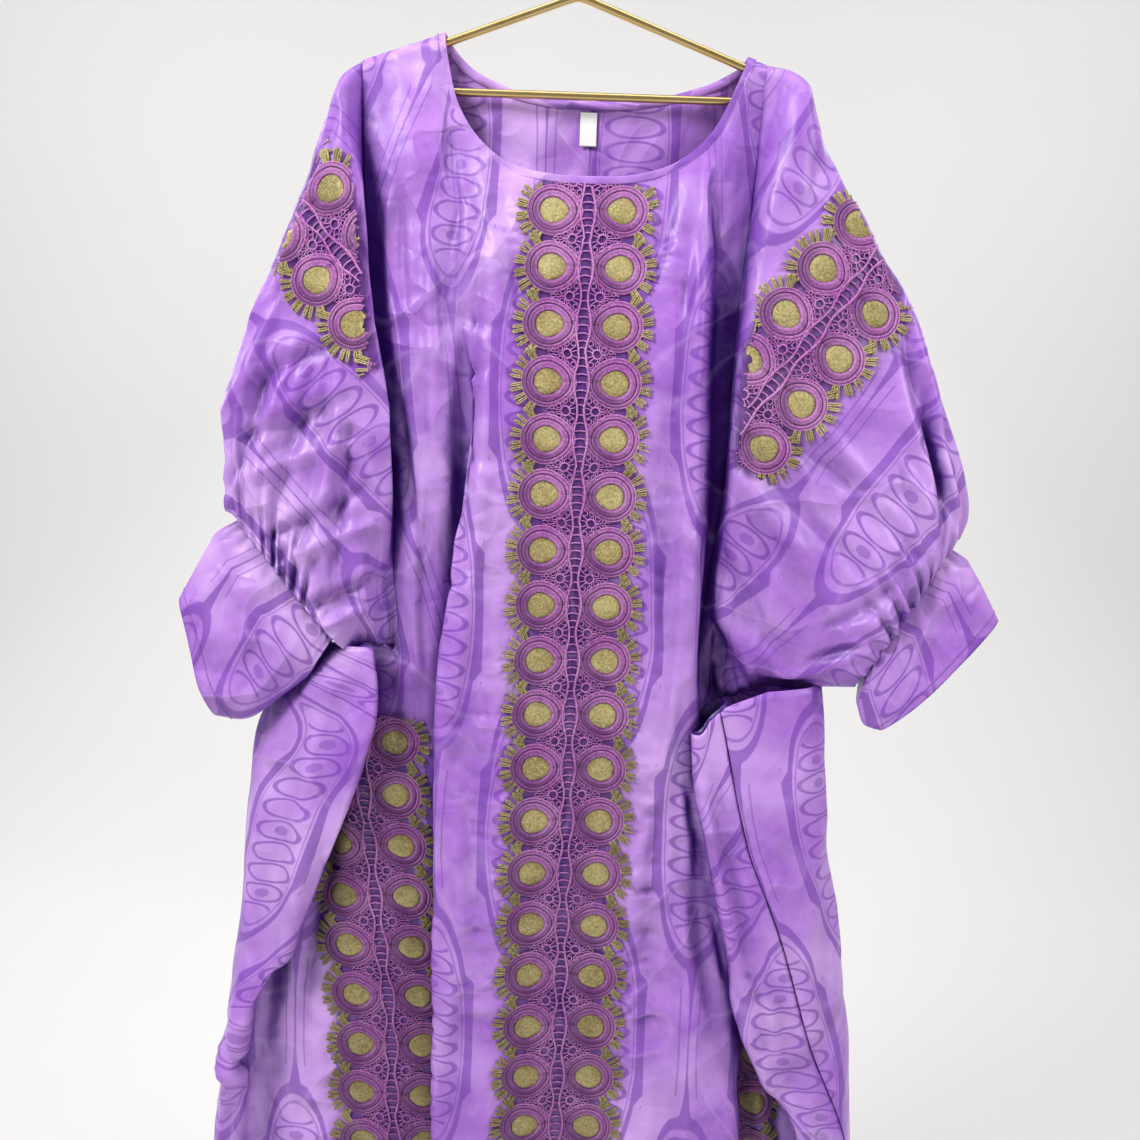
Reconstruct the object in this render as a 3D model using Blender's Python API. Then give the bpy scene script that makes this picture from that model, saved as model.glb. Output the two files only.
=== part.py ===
"""Grand boubou robe on a metal hanger, hung by the hook.

Metres, +Z up, the front of the robe towards -Y.  The origin is the saddle of the hook, where the
rod carries it.  The tables are in millimetres: x from the centre front, y from the plane of the
hanger (negative to the front), z from the saddle.  Every panel is a wall on a sheet that is read
from its table of folds or seams.
"""
import math

import bmesh
import bpy
import numpy as np
from mathutils import Vector
from mathutils.bvhtree import BVHTree
from mathutils.geometry import delaunay_2d_cdt

# ---- driving sizes, millimetres ------------------------------------------------------------
WALL = 1.6                  # cloth with its folds and hems
ARMHOLE_GAP = 1.0           # air between the body and a sleeve
CENTRE_FRONT = 16.0         # the neck sits this far to the right of the hook
BINDING_WIDTH = 9.0
BINDING_WALL = 2.2

HANGER_HALF_WIDTH = 202.0   # to the centre line of the tube
HANGER_TUBE = 8.0           # diameter of the arms and of the bar
HANGER_TOP_Z = -75.0        # centre line of the arms where they meet
HANGER_SLOPE = 0.348        # fall of an arm for each millimetre outwards
HANGER_BAR_Z = -169.0
HOOK_WIRE = 4.6
HOOK_INNER_RADIUS = 17.0
HOOK_SEAT = 0.4             # from the foot of the hook to the hanger's tube

# ---- the front: one row for each fold line, left to right ----------------------------------
# Each pair is (x, y) at the levels from the first level of the row down to the hem.
LEVELS = (-130, -250, -400, -560, -650, -735, -800, -900, -1020, -1140, -1260, -1420, -1600)
LEFT_ARMPIT, RIGHT_ARMPIT = 5, 6       # the level where the side of the body begins

FRONT_FOLDS = (
    # name, first level, (x, y) at each level
    ("seam_left", 5, ((-235, -33), (-318, -12), (-343, 2), (-352, 6), (-362, 8), (-352, 14), (-352, 16),
                      (-360, 16))),
    ("side_left", 5, ((-228, -38), (-290, -34), (-325, -30), (-345, -24), (-364, -14), (-376, -4),
                      (-373, -2), (-381, -2))),
    ("panel_left", 5, ((-218, -42), (-250, -46), (-285, -48), (-315, -44), (-352, -34), (-376, -20),
                       (-373, -18), (-381, -18))),
    ("edge_left", 5, ((-206, -43), (-199, -52), (-229, -56), (-267, -54), (-335, -46), (-366, -33),
                      (-364, -30), (-372, -30))),
    ("edge_left_in", 5, ((-206, -35), (-199, -42), (-229, -44), (-267, -42), (-333, -36), (-360, -26),
                         (-358, -23), (-366, -23))),
    ("tuck_left", 5, ((-212, -30), (-291, -28), (-306, -30), (-322, -30), (-345, -26), (-352, -19),
                      (-350, -16), (-358, -16))),
    ("tuck_left_in", 5, ((-211, -23), (-289, -18), (-304, -19), (-320, -18), (-340, -14), (-344, -10),
                         (-342, -8), (-350, -8))),
    ("lace_left", 0, ((-228, 0), (-226, -8), (-216, -8), (-191, -8), (-190, -8), (-188, -6), (-226, -17),
                      (-238, -19),
                      (-246, -20), (-254, -20), (-262, -20), (-262, -20), (-270, -20))),
    ("strip_left", 0, ((-205, -8), (-196, -22), (-186, -26), (-168, -24), (-166, -22), (-165, -19),
                       (-172, -20), (-182, -21),
                       (-190, -22), (-196, -22), (-200, -24), (-200, -24), (-206, -24))),
    ("strip_inner", 0, ((-180, -10), (-166, -24), (-154, -27), (-146, -26), (-148, -22), (-148, -20),
                        (-148, -20), (-150, -20),
                        (-152, -21), (-152, -22), (-150, -24), (-150, -24), (-152, -24))),
    ("pleat_in", 0, ((-162, -9), (-140, -17), (-128, -19), (-116, -18), (-106, -17), (-100, -16), (-96, -16),
                     (-92, -16),
                     (-90, -16), (-88, -16), (-86, -16), (-86, -16), (-88, -16))),
    ("pleat_out", 0, ((-156.2, -9), (-135, -17), (-122, -21), (-112, -25), (-104, -28), (-99, -29),
                      (-96, -30), (-92, -30),
                      (-90, -30), (-88, -30), (-86, -30), (-86, -30), (-88, -30))),
    ("edge_in", 0, ((-151, -9), (-130, -18), (-120, -24), (-119, -31), (-128, -35), (-135, -36), (-138, -37),
                    (-137, -38),
                    (-136, -38), (-133, -38), (-131, -38), (-131, -38), (-134, -38))),
    ("edge_out", 0, ((-145, -9), (-124, -21), (-115, -30), (-117, -40), (-128, -46), (-136, -49),
                     (-139, -50), (-138, -52),
                     (-137, -52), (-134, -52), (-131, -52), (-131, -52), (-134, -52))),
    ("centre_left", 0, ((-90, -12), (-92, -27), (-88, -37), (-86, -43), (-88, -48), (-90, -51), (-92, -53),
                        (-92, -56),
                        (-90, -58), (-86, -58), (-80, -58), (-76, -60), (-76, -60))),
    ("centre", 0, ((0, -15), (0, -22), (0, -29), (0, -34), (0, -37), (0, -39), (0, -41), (0, -43),
                   (0, -45), (0, -46), (0, -47), (0, -48), (0, -50))),
    ("centre_right", 0, ((90, -12), (84, -27), (84, -36), (86, -41), (88, -44), (88, -44), (86, -44),
                         (84, -46),
                         (84, -49), (82, -51), (80, -53), (80, -54), (80, -56))),
    ("ridge_right", 0, ((130, -9), (112, -29), (116, -39), (121, -46), (122, -50), (122, -49), (126, -45),
                        (144, -41),
                        (168, -43), (186, -46), (190, -48), (186, -50), (184, -52))),
    ("ridge_right_in", 0, ((144, -9), (125, -19), (128, -25), (132, -31), (131, -37), (129, -38), (134, -36),
                           (152, -33),
                           (178, -34), (196, -36), (197, -38), (192, -40), (190, -42))),
    ("under_centre", 0, ((156, -9), (134, -12), (134, -15), (137, -19), (134, -25), (128, -27), (120, -27),
                         (114, -27),
                         (112, -28), (110, -28), (108, -28), (104, -28), (102, -28))),
    ("under_centre_in", 0, ((162.8, -8), (146, -10), (142, -12), (140, -13), (134, -14), (127, -14),
                            (120, -14), (114, -14),
                            (112, -14), (110, -14), (108, -14), (104, -14), (102, -14))),
    ("lace_right", 0, ((172, 0), (166, -8), (155, -8), (150, -8), (139, -8), (133, -8), (140, -8), (166, -12),
                       (196, -14), (214, -15), (224, -15), (224, -15), (224, -15))),
    ("tuck_right", 6, ((156, -16), (202, -18), (240, -18), (262, -16), (288, -12), (302, -8), (306, -8))),
    ("tuck_right_in", 6, ((157, -42), (204, -44), (242, -42), (264, -36), (290, -26), (304, -18),
                          (308, -18))),
    ("edge_right_in", 6, ((126, -52), (136, -54), (166, -56), (199, -54), (262, -40), (288, -30),
                          (292, -30))),
    ("edge_right", 6, ((126, -62), (136, -67), (166, -70), (199, -68), (264, -54), (290, -42), (294, -42))),
    ("panel_right", 6, ((140, -63), (156, -68), (198, -70), (232, -66), (290, -50), (312, -38), (316, -38))),
    ("seam_right", 6, ((152, -60), (180, -63), (228, -63), (267, -56), (316, -36), (330, -24), (335, -24))),
)

# ---- mesh rows, from the shoulder to the hem ------------------------------------------------
ROWS = (-130, -137, -158, -215, -280, -350, -420, -490, -560, -620, -680, -735, -765, -800, -860, -920, -980,
        -1040, -1100, -1160, -1220, -1290, -1380, -1490, -1600)
YOKE_Z = -350.0             # below this every row is level; above, rows close up to the neckline


def hermite(knots, values, at):
    """Smooth curve through values at knots, with slopes from their neighbours."""
    knots = np.asarray(knots, float)
    values = np.asarray(values, float)
    at = np.atleast_1d(np.asarray(at, float))
    steps = np.diff(knots)
    slopes = np.diff(values, axis=0) / steps.reshape((-1,) + (1,) * (values.ndim - 1))
    tangents = np.empty_like(values)
    tangents[0], tangents[-1] = slopes[0], slopes[-1]
    for i in range(1, len(knots) - 1):
        tangents[i] = (slopes[i - 1] * steps[i] + slopes[i] * steps[i - 1]) / (steps[i - 1] + steps[i])
    cell = np.clip(np.searchsorted(knots, at, side="right") - 1, 0, len(knots) - 2)
    h = steps[cell]
    t = np.clip((at - knots[cell]) / h, 0.0, 1.0)
    shape = (-1,) + (1,) * (values.ndim - 1)
    h, t = h.reshape(shape), t.reshape(shape)
    return ((2 * t**3 - 3 * t**2 + 1) * values[cell] + (t**3 - 2 * t**2 + t) * h * tangents[cell]
            + (3 * t**2 - 2 * t**3) * values[cell + 1] + (t**3 - t**2) * h * tangents[cell + 1])


def curve_at(points, fractions):
    """Points on a smooth curve through points, at fractions of its chord length."""
    points = np.asarray(points, float)
    lengths = np.linalg.norm(np.diff(points, axis=0), axis=1)
    knots = np.concatenate([[0.0], np.cumsum(lengths)])
    return hermite(knots / knots[-1], points, fractions)


def across(points, steps):
    """Section through fold points: steps[i] pieces between point i and the next."""
    points = np.asarray(points, float)
    knots = np.concatenate([[0.0], np.cumsum(np.linalg.norm(np.diff(points[:, :2], axis=0),
                                                            axis=1) ** 0.6 + 1e-6)])
    at = [knots[0]]
    for i, count in enumerate(steps):
        for k in range(1, count + 1):
            at.append(knots[i] + (knots[i + 1] - knots[i]) * k / count)
    return hermite(knots, points, at)


# ---- sheets and walls -----------------------------------------------------------------------
FRONT_STEPS = {"seam_left": 1, "side_left": 1, "panel_left": 1, "edge_left": 1, "edge_left_in": 1,
               "tuck_left": 1,
               "tuck_left_in": 2, "lace_left": 1, "strip_left": 1, "strip_inner": 2, "pleat_in": 1,
               "pleat_out": 1,
               "edge_in": 1, "edge_out": 3, "centre_left": 3, "centre": 3, "centre_right": 2,
               "ridge_right": 1,
               "ridge_right_in": 1, "under_centre": 1, "under_centre_in": 1, "lace_right": 2, "tuck_right": 1,
               "tuck_right_in": 1, "edge_right_in": 1, "edge_right": 2, "panel_right": 2, "seam_right": 1}

# The neckline, once round from the left shoulder over the front: x, y, z and the lie of the
# binding's width in degrees, 0 towards -X, 90 down, 180 towards +X.
NECKLINE = (
    # x, y, z, lie
    (-147, 0, -112.5, 19), (-146.5, -6.5, -118, 18), (-141, -8, -150, 12), (-132, -9, -182, 20),
    (-112, -10, -213, 42), (-80, -12, -237.5, 64), (-40, -14, -247, 81), (0, -15, -248.5, 90),
    (46, -14, -245.5, 98), (88, -12, -231, 115), (120, -10, -203, 138), (137, -9, -172, 158),
    (146, -8, -150, 167), (153, -6.5, -132, 164), (154, 0, -126, 161), (151, 7.5, -130.5, 156),
    (128, 10, -146, 128), (96, 13, -157.5, 112), (50, 16, -166.5, 98), (0, 17, -169, 90),
    (-50, 16, -166.5, 80), (-90, 13, -157.5, 66), (-122, 10, -142, 48), (-144, 7.5, -117.5, 24),
)
NECK_STRIDE = 23.0          # longest facet round the neckline
SHOULDER_GAP = 1.6          # over an arm of the hanger
SHOULDER_EDGE = 1.5         # front and back end this far from the middle, over the arm
NECK_GAP = 1.3              # from the binding to the panels, whose edges have longer facets


def shoulder_z(x):
    """Height of the cloth over an arm of the hanger."""
    return HANGER_TOP_Z - HANGER_SLOPE * abs(x + CENTRE_FRONT) + HANGER_TUBE / 2 + WALL + SHOULDER_GAP


def neck_curve(stride, width=0.0):
    """Points round the neckline, at its rows and between them, moved out across the binding by width."""
    count = len(NECKLINE)
    rows = np.array(NECKLINE[-2:] + NECKLINE + NECKLINE[:3], float)
    lengths = np.linalg.norm(np.diff(rows[:, :3], axis=0), axis=1)
    knots = np.concatenate([[0.0], np.cumsum(lengths)])
    at = []
    for i in range(2, count + 2):
        pieces = int(math.ceil(lengths[i] / stride))
        at.extend(knots[i] + lengths[i] * k / pieces for k in range(pieces))
    out = hermite(knots, rows, at)
    lie = np.radians(out[:, 3])
    points = out[:, :3].copy()
    points[:, 0] -= width * np.cos(lie)
    points[:, 2] -= width * np.sin(lie)
    return points


def neck_edges():
    """The outer edge of the binding on the front and on the back, each from left to right."""
    points = neck_curve(NECK_STRIDE / 8, BINDING_WIDTH + NECK_GAP)
    right = int(np.argmax(points[:, 0]))
    front = points[:right + 1]
    back = np.vstack([points[right:], points[:1]])[::-1]
    return front, back


NECK_EDGE_FRONT, NECK_EDGE_BACK = neck_edges()


def top_of(x, edge):
    """(y, z) of a panel's top at x: under the binding, or else on the shoulder."""
    side = 1.0 if edge is NECK_EDGE_BACK else -1.0
    if edge[0, 0] < x < edge[-1, 0]:
        return np.interp(x, edge[:, 0], edge[:, 1]), np.interp(x, edge[:, 0], edge[:, 2])
    return side * SHOULDER_EDGE, shoulder_z(x)


def row_height(nominal, top):
    """Rows close up between a panel's own top and the yoke."""
    if nominal <= YOKE_Z:
        return nominal
    return top + (nominal - ROWS[0]) * (YOKE_Z - top) / (YOKE_Z - ROWS[0])


def side_lift(x, nominal):
    """How far a row of the body's side rises to meet the underside of the sleeve."""
    for side, sign in (("left", -1), ("right", 1)):
        under = SLEEVES[side]["under"]
        start = LEVELS[LEFT_ARMPIT if side == "left" else RIGHT_ARMPIT]
        if sign * x > sign * under[0][0] - UNDERARM_GAP and nominal <= start:
            reach = sorted(under)
            rise = np.interp(x, [p[0] for p in reach], [p[1] for p in reach]) - start
            inwards = min(1.0, abs(x - under[0][0]) / UNDERARM_START)
            return (rise * inwards - UNDERARM_GAP) * max(0.0, 1.0 - (start - nominal) / UNDERARM_FADE)
    return 0.0


def fold_at(fold, nominal):
    """(x, y) of a fold line at a nominal height."""
    first, pairs = fold[1:]
    return hermite([-z for z in LEVELS[first:]], pairs, -nominal)[0]


ARMHOLE_DEPTH = 9.0
ARMHOLE_SQUARENESS = 60.0   # how soon the armhole reaches its full depth from its two ends
SLEEVE_SQUARENESS = 3.0
CROTCH_DEPTH = 3.0          # a panel keeps this far from the middle at the armpit


def armhole_y(share):
    """Half depth of the armhole at a share of its height."""
    return ARMHOLE_DEPTH * math.sqrt(max(0.0, 1.0 - abs(2.0 * share - 1.0) ** ARMHOLE_SQUARENESS))


UNDERARM_GAP = 3.0          # from the underside of a sleeve to the side of the body
UNDERARM_START = 30.0       # the side's top leaves the armpit over this width
UNDERARM_FADE = 130.0       # the rise of the side's top dies out over this height
FOLDS = {fold[0]: fold for fold in FRONT_FOLDS}
ARMHOLES = {
    # side: the front's fold at the armhole, row of ROWS at the armpit
    "left": ("lace_left", ROWS.index(-735)),
    "right": ("lace_right", ROWS.index(-800)),
}


def armhole(side):
    """Points (x, half depth, z) down an armhole, one for each row."""
    name, last = ARMHOLES[side]
    points = []
    top = shoulder_z(FOLDS[name][2][0][0])
    for nominal in ROWS[:last + 1]:
        x = fold_at(FOLDS[name], nominal)[0]
        z = row_height(nominal, top)
        points.append((x, armhole_y((top - z) / (top - ROWS[last])), z))
    return np.array(points)


def panel_rows(folds, steps, edge, armholes):
    """Rows of points of a front or back panel; None where the panel hasn't begun."""
    rows = []
    for row, nominal in enumerate(ROWS):
        open_folds = [f for f in folds if LEVELS[f[1]] >= nominal]
        section = np.array([fold_at(f, nominal) for f in open_folds])
        for i, fold in enumerate(open_folds):
            side, direction = armholes.get(fold[0], (None, 0))
            if side and row <= ARMHOLES[side][1]:
                at = armhole(side)[row]
                depth = max(at[1], CROTCH_DEPTH)
                section[i] = (at[0] - direction * ARMHOLE_GAP, depth * (1 if edge is NECK_EDGE_BACK else -1))
        points = across(section, [steps[f[0]] for f in open_folds[:-1]])
        lead = sum(steps[f[0]] for f in folds[:folds.index(open_folds[0])])
        line = [None] * lead
        for x, y in points:
            top_y, top = top_of(x, edge)
            if row == 0:
                y = top_y
            line.append((x, y, row_height(nominal, top) + side_lift(x, nominal)))
        rows.append(line)
    width = max(len(r) for r in rows)
    return [r + [None] * (width - len(r)) for r in rows]


def metres(point):
    """A table point in the part's own frame."""
    return Vector(((point[0] + CENTRE_FRONT) / 1000.0, point[1] / 1000.0, point[2] / 1000.0))


def sheet_mesh(rows, flip=False, closed=False):
    """bmesh sheet through rows of points; cells with a missing point are left out."""
    bm = bmesh.new()
    verts = [[None if p is None else bm.verts.new(metres(p)) for p in row] for row in rows]
    for upper, lower in zip(verts, verts[1:]):
        count = len(upper) if closed else len(upper) - 1
        for j in range(count):
            k = (j + 1) % len(upper)
            corners = (upper[j], lower[j], lower[k], upper[k])
            if None not in corners:
                bm.faces.new(corners[::-1] if flip else corners)
    return bm


def make_node(name, bm, material, smooth_angle=50.0):
    mesh = bpy.data.meshes.new(name)
    bm.to_mesh(mesh)
    bm.free()
    mesh.materials.append(material)
    mesh.shade_smooth()
    mesh.set_sharp_from_angle(angle=math.radians(smooth_angle))
    node = bpy.data.objects.new(name, mesh)
    bpy.context.collection.objects.link(node)
    return node


def make_wall(name, bm, material, thickness=WALL):
    """Cloth: the sheet is the outer face, and its thickness goes inwards."""
    bmesh.ops.triangulate(bm, faces=bm.faces)
    node = make_node(name, bm, material)
    wall = node.modifiers.new("wall", "SOLIDIFY")
    wall.thickness = thickness / 1000.0
    wall.offset = -1.0
    wall.use_rim = True
    return node


# ---- the back -------------------------------------------------------------------------------
SIDE_SEAM_GAPS = (4.4, 3.8, 1.4, 0.8, 0.7, 0.7, 0.7, 0.7)      # wide where the two walls meet at an angle
BACK_LEFT_FOLDS = (
    # name, first level, (x, y) at each level
    ("seam_left", 5, tuple((x, y + gap) for (x, y), gap in zip(FOLDS["seam_left"][2], SIDE_SEAM_GAPS))),
    ("back_side_left", 5, ((-226, -22), (-290, 6), (-318, 20), (-328, 25), (-340, 27), (-338, 30),
                           (-338, 32), (-345, 32))),
    ("back_hem_left", 5, ((-206, -6), (-250, 15), (-275, 21), (-285, 20), (-295, 19), (-295, 22), (-295, 24),
                          (-300, 24))),
    ("armhole_left", 0, ((-228, 0), (-226, 8), (-216, 8), (-191, 8), (-190, 8), (-188, 5), (-208, 24),
                         (-228, 31),
                         (-238, 33), (-246, 33), (-246, 34), (-246, 35), (-250, 36))),
    ("back_outer_left", 0, ((-180, 8), (-182, 19), (-174, 24), (-156, 24), (-154, 22), (-153, 20),
                            (-162, 22), (-176, 22),
                            (-184, 22), (-190, 23), (-190, 24), (-190, 26), (-192, 26))),
    ("back_neck_left", 0, ((-153.4, 9), (-150, 20), (-146, 26), (-134, 29), (-133, 29), (-132, 28),
                           (-138, 30), (-147, 30),
                           (-153, 31), (-158, 31), (-158, 32), (-158, 33), (-160, 33))),
    ("back_middle_left", 0, ((-120, 9), (-122, 20), (-118, 28), (-112, 34), (-112, 35), (-112, 35),
                             (-114, 36), (-118, 37),
                             (-122, 38), (-126, 38), (-126, 38), (-126, 39), (-128, 39))),
    ("back_inner_left", 0, ((-60, 14), (-60, 17), (-58, 20), (-56, 23), (-56, 24), (-56, 25), (-58, 26),
                            (-60, 27),
                            (-62, 28), (-64, 29), (-64, 29), (-64, 30), (-64, 30))),
    ("centre_back_left", 0, tuple((-0.2, y) for y in (17, 21, 26, 30, 32, 33, 34, 35, 36, 36, 37, 37, 38))),
)
BACK_RIGHT_FOLDS = (
    ("centre_back_right", 0, tuple((0.2, y) for y in (17, 21, 26, 30, 32, 33, 34, 35, 36, 36, 37, 37, 38))),
    ("back_inner_right", 0, ((60, 14), (58, 17), (56, 20), (54, 24), (54, 25), (54, 25), (56, 26), (58, 27),
                             (60, 28), (62, 29), (62, 29), (62, 30), (62, 30))),
    ("back_middle_right", 0, ((110, 9), (106, 21), (102, 29), (98, 34), (94, 34), (92, 35), (96, 36),
                              (106, 37),
                              (114, 38), (120, 38), (122, 38), (122, 39), (122, 39))),
    ("back_neck_right", 0, ((160.4, 9), (138, 18), (130, 24), (124, 26), (118, 25), (114, 26), (118, 31),
                            (132, 31),
                            (144, 33), (152, 34), (155, 35), (156, 36), (156, 36))),
    ("armhole_right", 0, ((172, 0), (166, 8), (155, 8), (150, 8), (139, 8), (133, 8), (140, 8), (160, 22),
                          (176, 27), (184, 29), (188, 31), (190, 32), (190, 32))),
    ("back_outer_right", 6, ((196, 8), (222, 20), (236, 27), (246, 31), (254, 33), (258, 34), (260, 34))),
    ("back_side_right", 6, ((246, -8), (266, 4), (284, 12), (300, 18), (312, 21), (318, 23), (322, 23))),
    ("side_right", 6, ((262, -26), (277, -20), (296, -12), (313, -6), (328, 2), (336, 4), (341, 4))),
    ("front_side_right", 6, ((246, -44), (262, -44), (284, -40), (303, -32), (326, -16), (337, -8),
                             (342, -8))),
    ("front_strip_right", 6, ((200, -52), (224, -56), (258, -54), (288, -46), (322, -27), (335, -17),
                              (340, -17))),
    ("seam_right", 6, tuple((x + 1.2, y + 0.6) for x, y in FOLDS["seam_right"][2])),
)
BACK_STEPS = {"seam_left": 1, "back_side_left": 1, "back_hem_left": 1, "armhole_left": 1,
              "back_outer_left": 1,
              "back_neck_left": 2, "back_middle_left": 2, "back_inner_left": 2, "centre_back_right": 2,
              "back_inner_right": 2, "back_middle_right": 3, "back_neck_right": 1, "armhole_right": 1,
              "back_outer_right": 1, "back_side_right": 1, "side_right": 1, "front_side_right": 1,
              "front_strip_right": 1}

# ---- sleeves and cuffs ----------------------------------------------------------------------
SLEEVES = {
    "left": {
        "top": ((-228, -141), (-246, -156), (-257, -182), (-273, -225), (-295, -284), (-320, -349),
                (-342, -405),
                (-357, -455), (-360, -500), (-357, -550), (-353, -590)),
        "under": ((-188, -735), (-211, -731), (-235, -732)),
        "gather": ((-353, -590), (-318, -630), (-277, -681), (-235, -732)),
        "opening": ((-403, -684), (-391, -725), (-379, -778), (-366, -806)),
        "cuff_under": ((-235, -732), (-290, -777), (-340, -810), (-366, -806)),
        "overhang": 31.0,
    },
    "right": {
        "top": ((172, -133.5), (197, -141), (214, -156), (223, -180), (243, -222), (270, -270), (300, -322),
                (326, -366), (345, -412), (368, -477), (386, -530), (391, -570), (384, -591)),
        "under": ((133, -800), (160, -776), (200, -761), (245, -757), (292, -750)),
        "gather": ((384, -591), (358, -634), (325, -690), (292, -750)),
        "opening": ((433, -677), (400, -715), (360, -760), (320, -797)),
        "cuff_under": ((292, -750), (296, -775), (303, -792), (320, -797)),
        "overhang": -28.0,
    },
}
SLEEVE_STATIONS = {
    # side: (share of the way out, y of the middle, half depth)
    "left": ((0, 0, 9), (0.035, -4, 22), (0.08, -8, 30), (0.15, -10, 33), (0.3, -12, 33), (0.5, -14, 32),
             (0.7, -18, 30), (0.85, -26, 28), (1, -36, 21)),
    "right": ((0, 0, 9), (0.035, -5, 25), (0.08, -11, 35), (0.15, -15, 39), (0.3, -16, 40), (0.5, -18, 41),
              (0.7, -24, 42), (0.85, -32, 38), (1, -40, 21)),
}
SLEEVE_COLUMNS = (0.0, 0.035, 0.08, 0.15, 0.28, 0.45, 0.64, 0.8, 0.92)
# Near the armpit a sleeve starts as thin as the armhole.
FOOT_HEIGHT, FOOT_START, FOOT_REACH = 0.4, 0.1, 0.35
FOLD_HALF = 2.6             # half depth of the fold along the underside
EVEN_OUT = 0.6              # past this share of the way out a ring's points are evenly spaced
GATHER_COLUMNS = (0.97, 1.0)
GATHER_DEPTH = 1.5
CUFF_COLUMNS = (-0.03, 0.05, 0.4, 0.7, 1.0)
CUFF_PIECES = 10            # along each face of the ring
CUFF_INSET = {"left": 0.09, "right": 0.08}    # share of the gathers that the cuff stays inside at each fold
CUFF_DEPTHS = (14.75, 15.0)
CUFF_MIDDLE = (0.0, -4.0)   # added to the y of the sleeve's end, at the gathers and at the opening


def sleeve_point(side, out, share, face, ripple=0.0):
    """Point on a sleeve: out from the armhole, share down from the top, face -1 front or 1 back."""
    form = SLEEVES[side]
    top = curve_at(form["top"], out)[0]
    under = curve_at(form["under"], out)[0]
    gather = curve_at(form["gather"], share)[0]
    hole = armhole(side)
    heights = hole[:, 2]
    z = heights[0] + (heights[-1] - heights[0]) * share
    hole_x = np.interp(-z, -heights, hole[:, 0])
    z_foot = form["under"][0][1]
    inner = np.array((hole_x, heights[0] + (z_foot - heights[0]) * share))
    first, second = np.array(form["top"][0], float), np.array(form["top"][-1], float)
    third, fourth = np.array(form["under"][0], float), np.array(form["under"][-1], float)
    plane = ((1 - share) * top + share * under + (1 - out) * inner + out * gather
             - (1 - out) * (1 - share) * first - out * (1 - share) * second
             - (1 - out) * share * third - out * share * fourth)
    middle, half = hermite([s[0] for s in SLEEVE_STATIONS[side]], [s[1:] for s in SLEEVE_STATIONS[side]],
                           out)[0]
    foot = min(1.0, 1.3 * max(0.0, 1.0 - (1.0 - share) / FOOT_HEIGHT))
    foot *= min(1.0, max(0.0, (FOOT_REACH - out) / (FOOT_REACH - FOOT_START)))
    half -= (half - ARMHOLE_DEPTH) * foot
    middle *= 1.0 - foot
    power = ARMHOLE_SQUARENESS + (SLEEVE_SQUARENESS - ARMHOLE_SQUARENESS) * min(1.0, out / 0.2) ** 0.5
    swell = math.sqrt(max(0.0, 1.0 - abs(2.0 * share - 1.0) ** power))
    if share > 0.999:
        swell = FOLD_HALF / half
    if face < 0 and out < 0.25:
        fade = min(1.0, 6.0 * share, 3.0 * max(0.0, 0.88 - share))
        plane[0] += form["overhang"] * math.sin(math.pi * out / 0.25) * fade
    return np.array((plane[0], middle + face * (half + ripple) * swell, plane[1]))


def ring_shares(side):
    """Shares down the armhole, one for each row of the body."""
    heights = armhole(side)[:, 2]
    return (heights - heights[0]) / (heights[-1] - heights[0])


def sleeve_ring(side, out, doubled=False):
    """Closed ring of points round a sleeve, from its top down the front and up the back."""
    shares = ring_shares(side)
    even = min(1.0, out / EVEN_OUT)
    shares = list(shares * (1.0 - even) + np.linspace(0.0, 1.0, len(shares)) * even)
    if doubled:
        middles = [(a + b) / 2 for a, b in zip(shares, shares[1:])]
        shares = sorted(shares + middles)
    foot = [(1.0, 0), (1.0, 1)] if doubled else [(1.0, 1)]
    places = [(s, -1) for s in shares] + foot + [(s, 1) for s in shares[-2:0:-1]]
    ring = []
    for i, (share, face) in enumerate(places):
        ripple = (GATHER_DEPTH if i % 2 else -GATHER_DEPTH) if doubled else 0.0
        ring.append(sleeve_point(side, out, share, face, ripple))
    return ring


def cuff_ring(side, down):
    """Closed ring round a cuff at a share of its length from the gathers."""
    form = SLEEVES[side]
    end_middle = SLEEVE_STATIONS[side][-1][1]
    depth = CUFF_DEPTHS[0] + (CUFF_DEPTHS[1] - CUFF_DEPTHS[0]) * down
    middle = end_middle + CUFF_MIDDLE[0] + (CUFF_MIDDLE[1] - CUFF_MIDDLE[0]) * down
    under = curve_at(form["cuff_under"], down)[0]
    gather_line, opening_line = np.array(form["gather"], float), np.array(form["opening"], float)
    top = (1 - down) * gather_line[0] + down * opening_line[0]
    ring = []
    count = CUFF_PIECES
    shares = [(1 - math.cos(math.pi * i / count)) / 2 for i in range(count + 1)]
    inset = CUFF_INSET[side] * max(0.0, 1.0 - down / 0.3)
    for share, face in [(s, -1) for s in shares] + [(s, 1) for s in shares[-2:0:-1]]:
        share = inset + (1.0 - 2.0 * inset) * share
        gather = curve_at(form["gather"], share)[0]
        opening = curve_at(form["opening"], share)[0]
        gather_chord = (1 - share) * gather_line[0] + share * gather_line[-1]
        opening_chord = (1 - share) * opening_line[0] + share * opening_line[-1]
        chord = ((1 - down) * (gather - gather_chord) + down * (opening - opening_chord)
                 + (1 - share) * top + share * under)
        swell = (1.0 - abs(2.0 * share - 1.0) ** 4) ** 0.5
        ring.append((chord[0], middle + face * depth * swell, chord[1]))
    return ring


def bridge_doubled(bm, single, double):
    """Faces between a ring and one with twice its points."""
    count = len(single)
    for j in range(count):
        k = (j + 1) % count
        middle = double[2 * j + 1]
        bm.faces.new((single[j], double[2 * j], middle))
        bm.faces.new((single[j], middle, single[k]))
        bm.faces.new((single[k], middle, double[(2 * j + 2) % (2 * count)]))


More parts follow.
